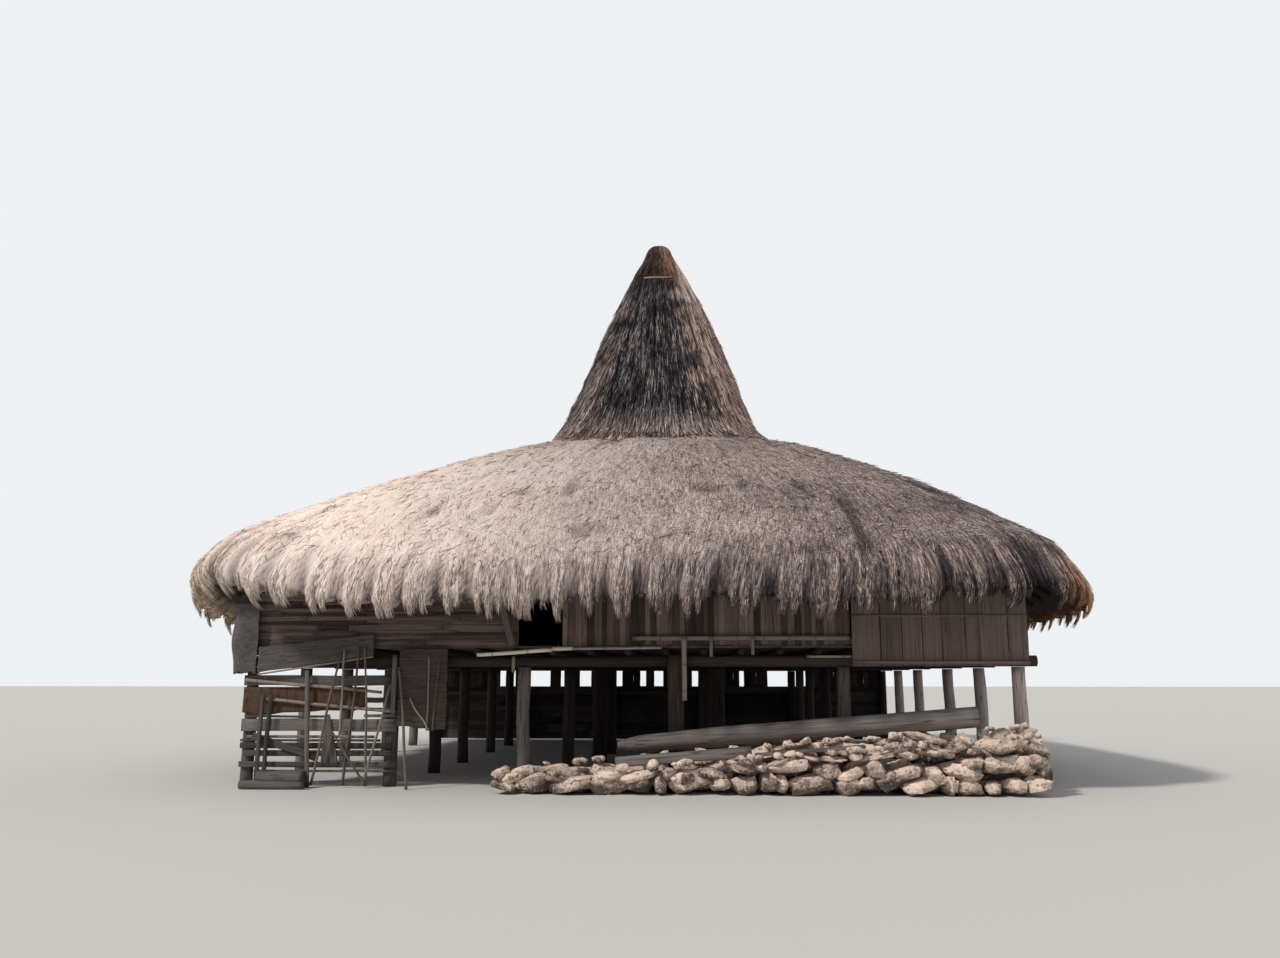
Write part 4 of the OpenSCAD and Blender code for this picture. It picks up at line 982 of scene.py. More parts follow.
def weathered_log(x0, x1, y, lift):
    """The log on the sill: a tube whose radius grows from its broken tip, dented by noise, with two small knots."""
    s = np.array([0, 0.012, 0.03, *np.linspace(0.06, 1, 38)])[:, None]
    turn = np.linspace(0, 2 * np.pi, 30, endpoint=False)
    radius = np.interp(s, [0, 0.05, 0.3, 1], [0.046, 0.11, 0.142, 0.1445])
    knot = sum(high * np.exp(-((s - place) / 0.012) ** 2 - ((turn - angle) / 0.35) ** 2) for high, place, angle in (
        (0.012, 0.33, 4.2), (0.01, 0.62, 4.4)))
    r = radius * (0.97 + 0.03 * wavy(turn * 2.5, s * 9, 221)) + knot * (radius > 0.1)
    foot, reach = np.array([x0, y, sill_top(x0) + lift]), np.array([x1 - x0, 0, SILL_SLOPE * (x1 - x0)])
    axis, side = unit(reach), np.array(Y_WAY)
    up = np.array([-axis[2], 0, axis[0]])
    middle = foot + s * reach + 0.006 * wavy(s * 3, 0.5, 222) * side
    around, above = r * np.cos(turn), r * np.sin(turn)
    rings = middle[:, None] + around[..., None] * side + above[..., None] * up
    chance = 0.3 + 0.3 * np.sin(turn) + 0.6 * smooth((s - 0.5) / 0.45)
    tone = vectors(chance, np.clip(1 - s * 12, 0, 1), 0)
    return tubes(rings[None], middle[None, [0, -1]], vectors(around, above, s * 4.8)[None], tone[None])


def hung_sheet(x, z, seed, chance, lean=0):
    """A hung sheet: its grid of X and Z swings out and in by noise that fades upwards; its slats follow the lean."""
    u, v = grid(*x.shape)
    y = SHEET_Y + 0.006 * wavy(u * 5, v * 3, seed) * (1 - v * 0.6)
    return slab(vectors(x, y, z), Y_WAY, 0.009, vectors(x, z - lean * x, 0), vectors(chance + 0 * x, 0, 0))


def wrapped_sheet():
    """The corner mat: along the front, a quarter of a circle round the corner post and back along the left side.

    It bulges by a bell curve over its height, and its lower and upper edges wander by noise.
    """
    bend = 0.1467
    front, back, arc = 0.386 - bend, 0.44 - bend, bend * np.pi / 2
    run, v = grid(56, 34)
    length = (front + arc + back) * run
    phi = np.clip((length - front) / bend, 0, np.pi / 2)
    nx, ny = np.sin(phi), np.cos(phi)
    x = WRAP_X + bend * (1 - nx) + np.clip(front - length, 0, None)
    y = SHEET_Y + bend * (1 - ny) + np.clip(length - front - arc, 0, None)
    bulge = 0.045 * np.exp(-((v - 0.45) / 0.22) ** 2) * smooth(run * 3) + 0.009 * wavy(run * 5, v * 6, 183) - 0.004
    low = 1.56 + 0.02 * wavy(run * 9, 0.1, 184) + 0.02 * wavy(run * 23, 0.6, 189)
    z = low + (2.552 - low + 0.02 * wavy(run * 7, 0.7, 185)) * v
    out = vectors(nx, ny, 0 * z)
    return slab(vectors(x - nx * bulge, y - ny * bulge, z), out, 0.008, vectors(length, 0, z), vectors(0.6, 0, 0 * z))


# Settings

def colour_of(name, text, value):
    return bpy.props.FloatVectorProperty(
        name=name, description=text, subtype="COLOR", size=3, min=0, max=1, default=value)


def number_of(name, text, value, low, high, unit="LENGTH"):
    return bpy.props.FloatProperty(name=name, description=text, default=value, min=low, max=high, unit=unit)


def count_of(name, text, value, low, high):
    return bpy.props.IntProperty(name=name, description=text, default=value, min=low, max=high)


class StrawSettings(bpy.types.PropertyGroup):
    fringe: number_of("Fringe", "How far the straw hangs below the eave", 0.5, 0.3, 0.52)
    clump_count: count_of("Clumps round the eave", "Number of wide clumps that the fringe is drawn into", 96, 60, 160)
    clump_depth: number_of("Hollows", "Depth of the hollows between the clumps", 0.16, 0, 0.2)
    straw_length: number_of("Straw length", "Length of a loose straw on the slope", 0.24, 0.1, 0.8)
    straw_width: number_of("Straw width", "Width of a small bundle of straws", 0.017, 0.008, 0.04)
    course: number_of("Courses", "Height of one course of straw on the spire", 0.648, 0.3, 0.9)
    spire_clumps: count_of("Clumps round the spire", "Number of clumps in the spire's lowest course", 64, 30, 120)
    # Sunny straw is painted sunlight on the skirt at the left, shaded straw is painted shade at the right
    sun_dark: colour_of("Sunny straw, dark", "Darkest straw of the skirt at the left", (0.5, 0.385, 0.33))
    sun_middle: colour_of("Sunny straw", "Common straw of the skirt at the left", (0.98, 0.78, 0.665))
    sun_light: colour_of("Sunny straw, pale", "Palest straw of the skirt at the left", (1, 0.96, 0.9))
    dark: colour_of("Old straw", "Darkest straw of the skirt in the middle", (0.06, 0.05, 0.052))
    middle: colour_of("Grey straw", "Common straw of the skirt in the middle", (0.262, 0.204, 0.187))
    light: colour_of("Pale straw", "Palest straw of the skirt in the middle", (0.71, 0.59, 0.53))
    shade_dark: colour_of("Shaded straw, dark", "Darkest straw of the skirt at the right", (0.022, 0.019, 0.023))
    shade_middle: colour_of("Shaded straw", "Common straw of the skirt at the right", (0.148, 0.116, 0.115))
    shade_light: colour_of("Shaded straw, pale", "Palest straw of the skirt at the right", (0.66, 0.51, 0.44))
    # Golden straw is painted sunlight on the left corner
    golden: colour_of("Golden straw", "Straw at the left corner in painted sunlight", (1, 0.72, 0.5))
    tip: colour_of("Reddish straw", "Reddish straw at the right corner and on the spire's top", (0.92, 0.42, 0.24))
    under: colour_of("Underside", "Straw of the underside, in deep shade", (0.05, 0.036, 0.03))
    # The spire's straw is partly its own dark colour and partly painted shade
    spire_dark: colour_of("Spire, dark", "Darkest straw of the spire", (0.008, 0.008, 0.012))
    spire_middle: colour_of("Spire, grey", "Common straw of the spire", (0.05, 0.044, 0.054))
    spire_light: colour_of("Spire, pale", "Palest straw of the spire", (0.52, 0.44, 0.42))
    # The right face's straw is painted sunlight
    face_dark: colour_of("Right face, dark", "Darkest straw of the spire's right face", (0.075, 0.054, 0.052))
    face_middle: colour_of("Right face", "Common straw of the spire's right face", (0.54, 0.41, 0.375))
    face_light: colour_of("Right face, pale", "Palest straw of the spire's right face", (0.72, 0.54, 0.45))


class TimberSettings(bpy.types.PropertyGroup):
    post: colour_of("Posts", "Weathered posts", (0.185, 0.162, 0.155))
    tall_post: colour_of("Tall post", "Dark brown post in the middle of the front", (0.135, 0.1, 0.085))
    beam: colour_of("Beams", "Floor beams and joists", (0.048, 0.037, 0.034))
    board: colour_of("Boards", "Boards of the walls", (0.148, 0.109, 0.098))
    panel: colour_of("Panel", "Wide split bamboo planks at the right", (0.205, 0.158, 0.142))
    pen: colour_of("Pen", "Boards and sticks of the pen", (0.15, 0.134, 0.128))
    bamboo: colour_of("Bamboo", "Grey bamboo poles", (0.29, 0.24, 0.2))
    batten: colour_of("Batten", "Bamboo of the spire's batten", (0.4, 0.33, 0.28))
    # The pole's pale colour is painted sunlight; the grey poles are its copy in painted shade
    pale: colour_of("Sunlit pole", "Pole in painted sunlight", (0.78, 0.72, 0.6))
    mat: colour_of("Mat", "Hanging mat of slats", (0.128, 0.112, 0.106))
    wrap: colour_of("Corner mat", "Grey sheet round the corner post", (0.115, 0.104, 0.104))
    flap: colour_of("Flap", "Hanging flap of slats", (0.1, 0.08, 0.072))
    bark: colour_of("Bark", "Sheet of brown bark", (0.11, 0.065, 0.042))
    # Painted shade: the wood under the floor and at the back is darkened for its shade
    dim: colour_of("Wood in painted shade", "Wood under the floor and at its back, darkened as painted shade", (0.055, 0.046, 0.042))
    log: colour_of("Log", "Weathered grey log", (0.23, 0.2, 0.19))


class StoneSettings(bpy.types.PropertyGroup):
    stone: colour_of("Stone", "Pale limestone", (0.76, 0.605, 0.505))
    size: number_of("Stone size", "Common length of a stone", 0.27, 0.1, 0.6)


class StageSettings(bpy.types.PropertyGroup):
    floor: colour_of("Floor", "Plain pale floor", (0.62, 0.6, 0.57))
    sky: number_of("Sky light", "Strength of the light from all round", 0.5, 0, 2, "NONE")
    lamp: number_of("Lamp", "Strength of the soft lamp", 2.3, 0, 10, "NONE")
    focal: number_of("Lens", "Focal length of the camera", 29.11, 10, 100, "CAMERA")


# Operators: one for each group of pieces, and one for the stage

class HOUSE_OT_stage(bpy.types.Operator):
    """Lay the floor, set the light and the camera"""
    bl_idname = "house.stage"
    bl_label = "Stage"

    def execute(self, context):
        scene, look = context.scene, context.scene.house_stage
        mesh, far = bpy.data.meshes.new("floor"), FLOOR_REACH
        mesh.from_pydata([(-far, -far, 0), (far, -far, 0), (far, far, 0), (-far, far, 0)], [], [(0, 1, 2, 3)])
        floor = bpy.data.objects.new("floor", mesh)
        mesh.materials.append(Finish("pale_floor").finish(tuple(look.floor), 0.9))
        world = scene.world = bpy.data.worlds.new("soft_light")
        world.use_nodes = True
        sky = Nodes(world.node_tree)
        straight, glossy, through = (sky.node("ShaderNodeLightPath", {}, {}, ray) for ray in (
            "Is Camera Ray", "Is Glossy Ray", "Is Transmission Ray"))
        seen = straight.maths("MAXIMUM", glossy).maths("MAXIMUM", through)
        light = sky.tree.nodes["Background"]
        sky.put(light.inputs["Color"], (0.93, 0.96, 1))
        sky.put(light.inputs["Strength"], look.sky)
        backdrop = sky.node("ShaderNodeBackground", {}, {"Color": (0.86, 0.88, 0.9)})
        mixed = sky.node("ShaderNodeMixShader", {}, {0: seen, 1: Value(sky, light.outputs[0]), 2: backdrop})
        sky.put(sky.tree.nodes["World Output"].inputs["Surface"], mixed)
        sun = bpy.data.lights.new("lamp", "SUN")
        sun.energy, sun.angle, sun.color = look.lamp, 0.1, (1, 0.96, 0.91)
        lamp = bpy.data.objects.new("lamp", sun)
        lamp.rotation_euler = SUN_TURN
        lens = bpy.data.cameras.new("camera")
        lens.lens, lens.sensor_width, lens.clip_end = look.focal, 36, 600
        camera = bpy.data.objects.new("camera", lens)
        camera.location, camera.rotation_euler = EYE, EYE_TURN
        for thing in (floor, lamp, camera):
            scene.collection.objects.link(thing)
        scene.camera = camera
        scene.view_settings.view_transform = "Standard"
        return {"FINISHED"}


class HOUSE_OT_skirt(bpy.types.Operator):
    """Thatch the four slopes and hang the fringe"""
    bl_idname = "house.skirt"
    bl_label = "Skirt of straw"

    def execute(self, context):
        look = context.scene.house_straw
        finish = skirt_straw(look)
        slopes = ("front_thatch", "back_thatch", "left_thatch", "right_thatch")
        piece("skirt_thatch", [skirt_body(look)], finish, "thatch", *slopes)
        piece("slope_straws", [slope_straws(look, SLOPE_STRAWS)], finish, "thatch")
        piece("eave_fringe", [fringe_straws(look, FRINGE_STRAWS)], finish, "thatch")
        piece("hem_fringe", [hem_straws(look, HEM_STRAWS)], finish, "thatch")
        return {"FINISHED"}


class HOUSE_OT_spire(bpy.types.Operator):
    """Thatch the spire and tie its batten"""
    bl_idname = "house.spire"
    bl_label = "Spire of straw"

    def execute(self, context):
        look = context.scene.house_straw
        finish = spire_straw(look)
        piece("spire_body", [spire_body(look)], finish, "spire_thatch", "spire_thatch")
        piece("spire_straws", [spire_straws(look, SPIRE_STRAWS)], finish, "spire_thatch")
        low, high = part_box("spire_batten")
        y, z = (low.y + high.y) / 2, (low.z + high.z) / 2
        foot, head = (low.x, y, z), (high.x, y - 0.01, z + 0.012)
        batten = bars(foot, head, 0.03, Y_WAY, 61, rings=8, sides=10, bow=0.01, rough=0.1, taper=0.6)
        grey = bamboo("batten_bamboo", context.scene.house_timber.batten)
        piece("batten", [batten], grey, "bamboo", "spire_batten")
        return {"FINISHED"}


class HOUSE_OT_posts(bpy.types.Operator):
    """Set the posts, with their bends and cracks"""
    bl_idname = "house.posts"
    bl_label = "Posts"

    def execute(self, context):
        look = context.scene.house_timber
        grey = timber("grey_post", look.post, cracks=0.8)
        # Painted shade: a dark wood for the posts under the floor and at the back
        dim = timber("shaded_post", look.dim, cracks=0.8)
        # Painted sunlight: a paler copy of the post wood for the corner post and the right row
        sunny = timber("sunny_post", shade(look.post, 2.4), cracks=0.8, warm=(1.2, 0.9, 0.72))
        brown = timber("brown_post", look.tall_post, cracks=0.6)
        tall_x, corner_x, tall_top = FRONT_X[3], FRONT_X[5], 1.7994
        low = [(x, -HALF) for x in FRONT_X if x not in (tall_x, corner_x)]
        tall = along_front(
            -HALF, (tall_x, 0), (tall_x, tall_top), 0.225, 72, X_WAY, rings=14, sides=18, bow=0.012, start=0.97)
        piece("front_row", [posts_at(low, POST_TOP, (0.18, 0.2, 0.2, 0.2), 71)], grey, "post")
        piece("corner_post", [posts_at([(corner_x, -HALF)], POST_TOP, 0.2, 78)], sunny, "post")
        piece("tall_post", [tall], brown, "post", "front_posts")
        second, third, fourth, fifth = SIDE_X[1:5]
        near, in_front, behind, far = ROW_Y[1:5]
        inner = [(x, y) for x in (second, third, fourth, fifth) for y in (near, far)]
        inner += [(x, y) for x in (second, fifth) for y in (in_front, behind)]
        main = [(x, y) for x in MAIN_X for y in (-MAIN_Y, MAIN_Y)]
        for label, places, top, width, seed, finish in (
                ("back", [(x, HALF) for x in SIDE_X], POST_TOP, 0.2, 73, dim),
                ("left", [(-HALF, y) for y in ROW_Y[1:5]], POST_TOP, 0.2, 74, grey),
                ("right", [(HALF, y) for y in ROW_Y[1:5]], POST_TOP, 0.2, 75, sunny),
                ("inner", inner, POST_TOP, 0.2, 76, dim), ("main", main, MAIN_TOP, 0.28, 77, dim)):
            piece(label + "_row", [posts_at(places, top, width, seed)], finish, "post", label + "_posts")
        return {"FINISHED"}


class HOUSE_OT_floor(bpy.types.Operator):
    """Lay the beams, the joists and the floor"""
    bl_idname = "house.floor"
    bl_label = "Floor frame"

    def execute(self, context):
        look = context.scene.house_timber
        reach, past_face = HALF + 0.25, FACE + 0.09
        ends = [(-reach, reach, y) for y in ROW_Y[1:]]
        ends += [(-reach, FRONT_X[3] - PAST_POST, -HALF), (FRONT_X[3] + PAST_POST, reach, -HALF)]
        x0, x1, y = np.array(ends).T
        beams = bars(vectors(x0, y, BEAM_Z), vectors(x1, y, BEAM_Z), 0.157, Z_WAY, 81, 22, 14, bow=0.016, taper=0.96)
        piece("beams", [beams], timber("brown_beam", look.beam, cracks=0.7), "beam", "floor_beams")
        x = JOIST_PITCH * np.arange(-10, 11)
        joists = bars(vectors(x, -past_face, JOIST_Z), vectors(x, past_face, JOIST_Z), 0.098, X_WAY, 82, 14, bow=0.008)
        piece("joists", [joists], timber("joist_wood", look.beam), "beam", "floor_joists")
        repaint(timber("floor_boards", look.board, (1.2, 30, 30), own=False), "floor_deck")
        return {"FINISHED"}


class HOUSE_OT_walls(bpy.types.Operator):
    """Board the walls, round the open doorway"""
    bl_idname = "house.walls"
    bl_label = "Walls"

    def execute(self, context):
        look = context.scene.house_timber
        stretch = (30, 30, 1.2)
        boards = timber("wall_board", look.board, stretch, cracks=0.7, spread=0.7)
        upright = timber("upright_board", shade(look.board, 1.2), stretch, cracks=0.9, spread=0.95)
        planks = timber("split_bamboo", look.panel, (70, 20, 0.9), cracks=0.9, spread=0.16)
        low, middle, end = FLOOR_Z + 0.002, FACE - SKIN, 5.469
        panel = [
            upright_wall(PANEL_LEFT, FACE, -FACE - 0.1053, 1.645, WALL_TOP, 0.3, 93, 0.012, lap=0.985),
            *(along_front(-5.6297, (PANEL_LEFT, z), (FACE, z - 0.01), tall, seed, sides=10, square=5, thick=0.016)
              for z, tall, seed in ((2.3367, 0.03, 94), (1.7017, 0.045, 95))),
            along_front(-5.545, (PANEL_LEFT, 1.985), (FACE, 1.985), 0.09, 96,
                        rings=6, sides=10, square=6, bow=0, rough=0, thick=0.08)]
        for name, node, finish, parts in (
                ("upright_boards", "front_wall_middle", upright,
                 [upright_wall(DOOR_RIGHT, PANEL_LEFT, -middle, low, WALL_TOP, 0.085, 91, 0.012)]),
                ("lying_slats", "front_wall_left", boards,
                 [lying_wall(-FACE, DOOR_LEFT, -middle, low, WALL_TOP, 0.05, 92, (0.2, 0.45, 0.7))]),
                ("panel_planks", "front_wall_right", planks, panel),
                *((side + "_boards", side + "_wall", boards,
                   [upright_wall(-x, x, y, low, WALL_TOP, 0.12, seed, 0.01, way)]) for side, x, y, seed, way in (
                    ("back", FACE, middle, 97, X_WAY), ("left", end, -middle, 98, Y_WAY),
                    ("right", end, middle, 99, Y_WAY)))):
            piece(name, parts, finish, "board", node)
        front = (FRONT_X[0], FRONT_X[1], DOOR_LEFT - 0.07, DOOR_RIGHT + 0.07, *FRONT_X[3:])
        places = [(x, HALF) for x in SIDE_X] + [(x, -HALF) for x in front]
        places += [(x, y) for x in (-HALF, HALF) for y in ROW_Y[1:5]]
        foot, head = (-1.6247, 1.935), (-1.93, 3.045)
        jamb = along_front(-5.5563, foot, head, 0.108, 102, Y_WAY, rings=10, bow=0.012, rough=0.06)
        studs = posts_at(places, WALL_TOP, 0.138, 101, FLOOR_Z + 0.001)
        piece("studs", [studs, jamb], timber("stud_wood", look.post), "post", "wall_studs")
        return {"FINISHED"}


class HOUSE_OT_roof_frame(bpy.types.Operator):
    """Give the rafters, plates and rings their wood"""
    bl_idname = "house.roof_frame"
    bl_label = "Roof frame"

    def execute(self, context):
        look = context.scene.house_timber
        for name, colour, stretch, nodes in (
                ("rafter_wood", look.beam, (22, 2.2, 2.2),
                 ("front_rafters", "back_rafters", "hip_rafters", "spire_poles")),
                ("side_rafter_wood", look.beam, (2.2, 22, 2.2), ("left_rafters", "right_rafters")),
                ("ring_wood", look.post, (5, 5, 20), ("rafter_ring", "spire_ring", "wall_plates"))):
            repaint(timber(name, colour, stretch, own=False), *nodes)
        return {"FINISHED"}


class HOUSE_OT_trim(bpy.types.Operator):
    """Tie the rail, its hanging stubs and the poles, pale in painted sunlight, to the front"""
    bl_idname = "house.trim"
    bl_label = "Rails of the front"

    def execute(self, context):
        look = context.scene.house_timber
        post, d, z, y = FRONT_X[3], 0.068, 2.035, -FACE - 0.0353
        stub_y = y - 0.0601
        x = post + 0.131
        parts = [along_front(y, (post - 0.594, z), (PANEL_LEFT - 0.01, z), d, 111, rings=30, sides=14, rough=0.03),
                 along_front(y - 0.0703, (x, z - 0.856), (x, z + 0.023), d, 112, X_WAY, rings=16, sides=14, rough=0.04)]
        for x, y, low, high, seed in (
                (post + 0.506, stub_y, z - 0.258, z + 0.011, 113), (post + 1.081, stub_y, z - 0.234, z + 0.011, 114),
                (FRONT_X[2] - 0.149, -5.5045, BEAM_Z - 0.16, BEAM_Z + 0.064, 115)):
            parts.append(along_front(y, (x, low), (x, high), 0.047, seed, X_WAY, rings=7, bow=0))
        piece("rail_and_stubs", parts, bamboo("grey_bamboo", look.bamboo), "bamboo", "front_rail")
        d, y, butt = 0.054, -FACE - 0.1183, -2 * JOIST_PITCH
        parts = [
            along_front(y, (FRONT_X[2] - 0.648, 1.806), (butt - 0.001, 1.871), d, 116, rings=16, bow=0.006),
            along_front(y, (butt + 0.001, 1.885), (butt + 0.3, 1.893), d * 1.04, 117, rings=6, bow=0, rough=0.07)]
        # Pale poles in painted sunlight
        piece("sunlit_poles", parts, bamboo("sunlit_pole", look.pale, 0.5), "pale_pole")
        z = 1.7802
        parts = [
            along_front(y, (butt + 0.31, 1.888), (0.477, 1.9), 0.036, 118, rings=14, sides=10, bow=0.006),
            along_front(-5.4993, (4.7 * JOIST_PITCH, z), (PANEL_LEFT + 0.067, z), 0.037, 119,
                        rings=8, sides=10, bow=0.003)]
        # A darker copy of the pale pole colour, as painted shade
        piece("grey_poles", parts, bamboo("grey_pole", shade(look.pale, 0.42), 0.5), "pale_pole", "ledge_poles")
        return {"FINISHED"}


class HOUSE_OT_pen(bpy.types.Operator):
    """Build the pen of boards, bark and sticks at the front left"""
    bl_idname = "house.pen"
    bl_label = "Pen"

    def execute(self, context):
        look = context.scene.house_timber
        board_y, brace_y, lift = BOARD_Y + SKIN, BRACE_Y + SKIN, MAT_Y + SKIN
        lying, thin = dict(square=5, bow=0.008, rough=0.06), dict(sides=10, thick=0.027)
        parts = []
        for i, (left, right, low, high) in enumerate(PEN_BOARDS):
            z, tall = (low + high) / 2, (high - low) * POST_TOP
            parts.append(along_front(board_y, pen(left, z), pen(right, z), tall, 121 + i, thick=0.026, **lying))
        x = FRONT_X[1] + 0.06
        parts += [
            along_front(brace_y, pen(0.08, 0.42), pen(0.5, 0.24), 0.1, 127, X_WAY, thick=0.024, **lying),
            along_front(brace_y, pen(0.585, 0.17), pen(0.56, 0.6), 0.27, 128, X_WAY,
                        rings=10, square=5, bow=0, thick=0.024, taper=0.22),
            *(along_front(lift, pen(u, 0), pen(u + 0.01, 0.76), 0.06, seed, X_WAY,
                          square=4, bow=0.01, rough=0.07, **thin) for u, seed in ((0.13, 129), (0.18, 130))),
            along_front(lift, pen(0.46, 0), pen(0.42, 0.97), 0.063, 131, X_WAY, rings=14, square=4, **thin),
            along_front(lift, (x, 0.6 * POST_TOP), (x, 1.1 * POST_TOP), 0.063, 132, X_WAY,
                        rings=10, square=3, bow=0, rough=0.07, **thin)]
        big = 0.24
        y, z = MAT_Y - GAP - big / 2, big / 2
        parts += [
            along_front(y, (pen(0.17, 0)[0], z), (pen(0.46, 0)[0], z), 0.235, 133,
                        rings=14, sides=16, bow=0.01, rough=0.08, start=0.9),
            along_front(y - 0.17, (pen(0.09, 0)[0], 0.06), (pen(0.49, 0)[0], 0.055), 0.115, 134,
                        rings=14, bow=0.012, rough=0.08, taper=0.8)]
        piece("pen_boards", parts, timber("pen_wood", look.pen, cracks=0.7, spread=0.7), "board", "pen_planks")
        u, v = grid(34, 12)
        low = 0.6 + 0.05 * u + 0.02 * wavy(u * 9, 0.5, 141)
        x, z = pen(0.8 * u + 0 * v, low + (0.83 - low) * v)
        middle = vectors(x, board_y + 0.006 * wavy(u * 8, v * 4, 142), z)
        sheet = slab(middle, Y_WAY, 0.016, vectors(x, 0, z), vectors(0.5, 0, 0 * x))
        piece("bark_sheet", [sheet], timber("bark", look.bark, (22, 8, 3), cracks=0.9), "bark", "bark_panel")
        parts = [along_front(RAIL_Y, foot, head, 0.052, seed, rings=18, bow=0.008, taper=0.8) for foot, head, seed in (
            (pen(0.01, 0.89), pen(0.9, 0.785), 151), (pen(0.14, 0.73), pen(1, 0.62), 152))]
        parts.append(along_front(lift, (MAT_LEFT, 1.536), (MAT_RIGHT, 1.782), 0.027, 153, rings=18, sides=10))
        piece("rails", parts, bamboo("pen_bamboo", look.bamboo, 0.3), "bamboo", "pen_rails")
        parts = [
            along_front(MAT_Y - GAP - d / 2 - out, foot, head, d * 0.9, 161 + i, X_WAY,
                        rings=16, sides=9, bow=0.016, rough=0.09, taper=0.75)
            for i, (foot, head, out, d) in enumerate(PEN_STICKS)]
        piece("sticks", parts, timber("stick_wood", look.bamboo, cracks=0.4, spread=0.6), "bamboo", "pen_sticks")
        foot, head = (-2.9855, STICK_Y - 0.213, 0.003), (-3.2198, STICK_Y, POST_TOP)
        pole = bars(foot, head, 0.043, X_WAY, 171, rings=18, sides=10, bow=0.03, rough=0.07, taper=0.8)
        piece("slender_pole", [pole], timber("pole_wood", look.pen), "bamboo", "leaning_pole")
        return {"FINISHED"}


class HOUSE_OT_mats(bpy.types.Operator):
    """Hang the mats and the flap"""
    bl_idname = "house.mats"
    bl_label = "Mats"

    def execute(self, context):
        look = context.scene.house_timber
        slats = timber("mat_slats", look.mat, (1.4, 36, 1), cracks=0.8, depth=0.008)
        u, v = grid(60, 24)
        low, high = 1.557 + 0.246 * u + 0.008 * wavy(u * 11, 0.3, 181), 1.918 + 0.18 * u
        x = MAT_LEFT + (MAT_RIGHT - MAT_LEFT) * u + 0 * v
        sheet = hung_sheet(x, low + (high - low) * v, 182, 0.5, 0.148)
        mat = piece("mat", [sheet], slats, "mat", "hanging_mat")
        skin = timber("grey_sheet", look.wrap, (9, 9, 30), cracks=0.35, depth=0.008, warm=(0.8, 0.74, 0.7))
        wrap = piece("wrap", [wrapped_sheet()], skin, "mat", "corner_mat")
        slats = timber("flap_slats", look.flap, (1.6, 26, 1), cracks=0.9, depth=0.008)
        u, v = grid(30, 40)
        left, right = -3.2198, -2.5098
        low = 0.82 + 0.05 * wavy(u * 7, 0.2, 186)
        x = left + (right - left) * u * (0.98 - 0.05 * np.abs(wavy(v * 17, 0.4, 187))) + 0.012 * wavy(v * 8, u * 2, 187)
        sheet = hung_sheet(np.clip(x, left, right), low + (1.895 - low) * v, 188, 0.4)
        flap = piece("flap", [sheet], slats, "mat", "hanging_flap")
        return {"FINISHED"}


class HOUSE_OT_fence(bpy.types.Operator):
    """Close the back under the floor with planks, and leave its gaps"""
    bl_idname = "house.fence"
    bl_label = "Fence"

    def execute(self, context):
        y = HALF + PAST_POST
        parts = [lying_wall(-HALF, HALF, y, 0.03, 1.282, 0.125, 191, (0.2, 0.41, 0.6, 0.79), 1.2)]
        spans = (
            (-5.4, -3.87), (-3.49, -3.13), (-2.63, -2.37), (-2.02, -1.9), (-1.62, -1.14), (-0.86, -0.42),
            (-0.28, -0.08), (0.14, 0.84), (1.04, 1.99), (2.1, 2.67), (3.74, 5.4))
        parts += [upright_wall(*span, y, 1.256, 1.66, 0.13, 200 + i) for i, span in enumerate(spans)]
        # The fence's dark wood is painted shade
        wood = timber("fence_wood", context.scene.house_timber.dim, cracks=0.7, spread=0.7)
        piece("fence", parts, wood, "board", "under_floor_fence")
        return {"FINISHED"}


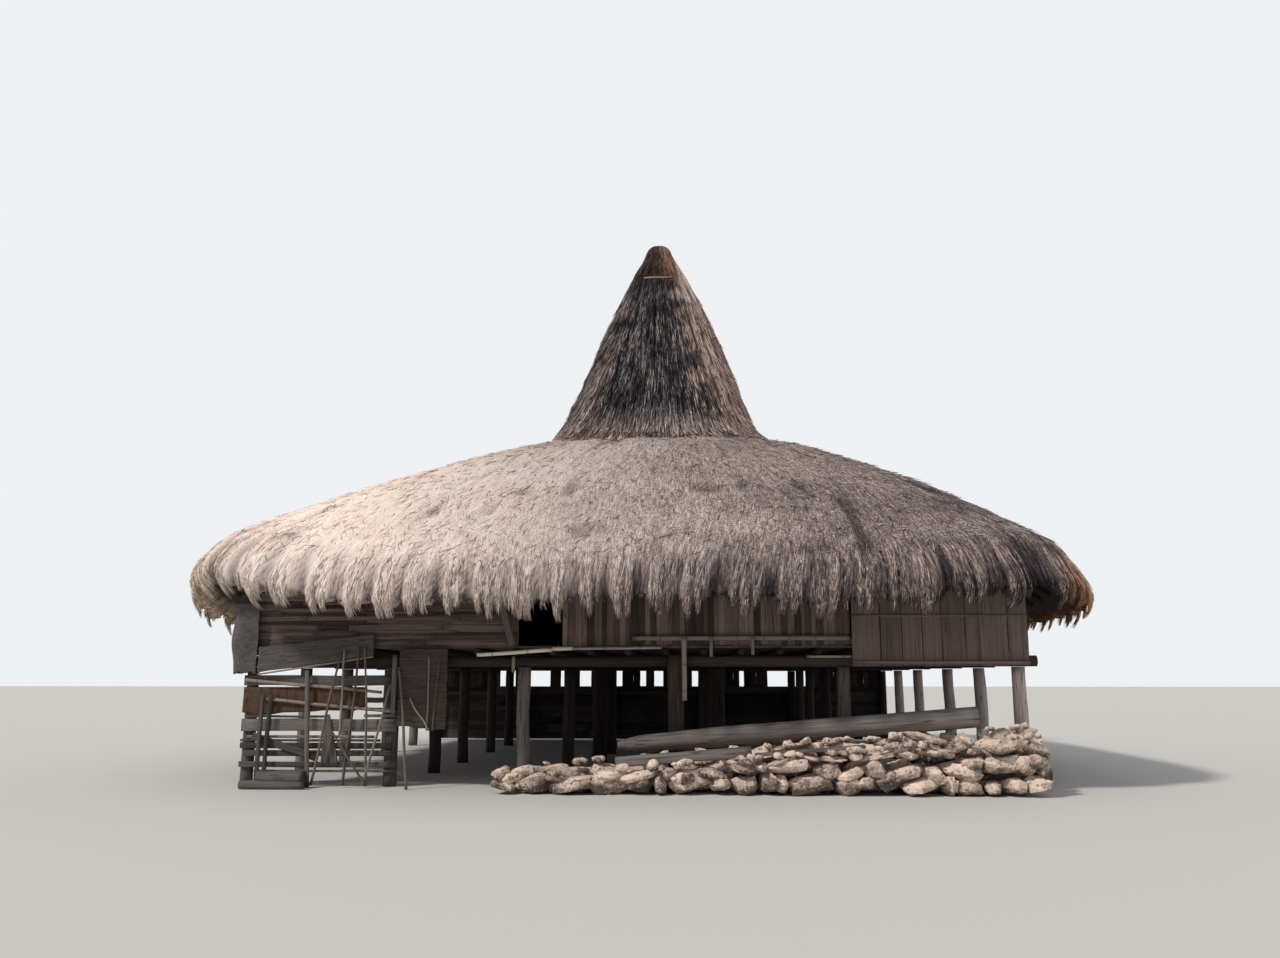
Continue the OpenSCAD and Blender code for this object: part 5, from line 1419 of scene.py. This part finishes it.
class HOUSE_OT_sill(bpy.types.Operator):
    """Pile the stones and lay the log, the timber and the plank on them"""
    bl_idname = "house.sill"
    bl_label = "Sill"

    def execute(self, context):
        look, wood = context.scene.house_stone, context.scene.house_timber
        piece("stones", [stones(*rubble(look.size), 212)], limestone(look), "stone", "stone_sill", flat=True)
        x0, x1 = FRONT_X[2] + 1.35, FRONT_X[5] - 0.702
        log = weathered_log(x0, x1, SILL_BACK - 0.275, 0.1453 / math.cos(math.atan(SILL_SLOPE)))
        grey = timber("grey_log", wood.log, (24, 24, 0.9), cracks=0.85, depth=0.012)
        piece("log", [log], grey, "log", "sill_log")
        ramp = lambda x, z: (x, sill_top(x, STEP_DROP) + z)
        y, tall = SILL_MID - 0.19, 0.135
        rough = dict(sides=14, square=5, bow=0.006)
        parts = [
            along_front(y, ramp(x0 + 0.01, tall / 2), ramp(x0 + 1.78, tall / 2), tall, 231, Y_WAY, rings=16, **rough),
            along_front(y, ramp(x0 + 1.83, 0.022), ramp(x0 + 3.24, 0.022), 0.215, 232, Y_WAY,
                        rings=14, thick=0.04, **rough)]
        grey = timber("grey_plank", shade(wood.log, 0.7), (16, 16, 1.2), cracks=0.8)
        piece("timber_and_plank", parts, grey, "log", "sill_plank")
        return {"FINISHED"}


SETTINGS = (("house_straw", StrawSettings), ("house_timber", TimberSettings), ("house_stone", StoneSettings),
            ("house_stage", StageSettings))
OPERATORS = (HOUSE_OT_stage, HOUSE_OT_skirt, HOUSE_OT_spire, HOUSE_OT_posts, HOUSE_OT_floor, HOUSE_OT_walls,
             HOUSE_OT_roof_frame, HOUSE_OT_trim, HOUSE_OT_pen, HOUSE_OT_mats, HOUSE_OT_fence, HOUSE_OT_sill)


class HOUSE_PT_panel(bpy.types.Panel):
    """Lists the settings and the groups of pieces"""
    bl_label = "Stilt house"
    bl_idname = "HOUSE_PT_panel"
    bl_space_type = "VIEW_3D"
    bl_region_type = "UI"
    bl_category = "Stilt house"

    def draw(self, context):
        for name, group in SETTINGS:
            box = self.layout.box()
            for prop in group.__annotations__:
                box.prop(getattr(context.scene, name), prop)
        for operator in OPERATORS:
            self.layout.operator(operator.bl_idname)


def register():
    for name, group in SETTINGS:
        bpy.utils.register_class(group)
        setattr(bpy.types.Scene, name, bpy.props.PointerProperty(type=group))
    for operator in OPERATORS:
        bpy.utils.register_class(operator)
    bpy.utils.register_class(HOUSE_PT_panel)


def unregister():
    bpy.utils.unregister_class(HOUSE_PT_panel)
    for operator in reversed(OPERATORS):
        bpy.utils.unregister_class(operator)
    for name, group in reversed(SETTINGS):
        delattr(bpy.types.Scene, name)
        bpy.utils.unregister_class(group)


def main():
    register()
    for operator in OPERATORS:
        getattr(bpy.ops.house, operator.bl_idname.split(".")[1])()
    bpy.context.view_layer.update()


if __name__ == "__main__":
    main()
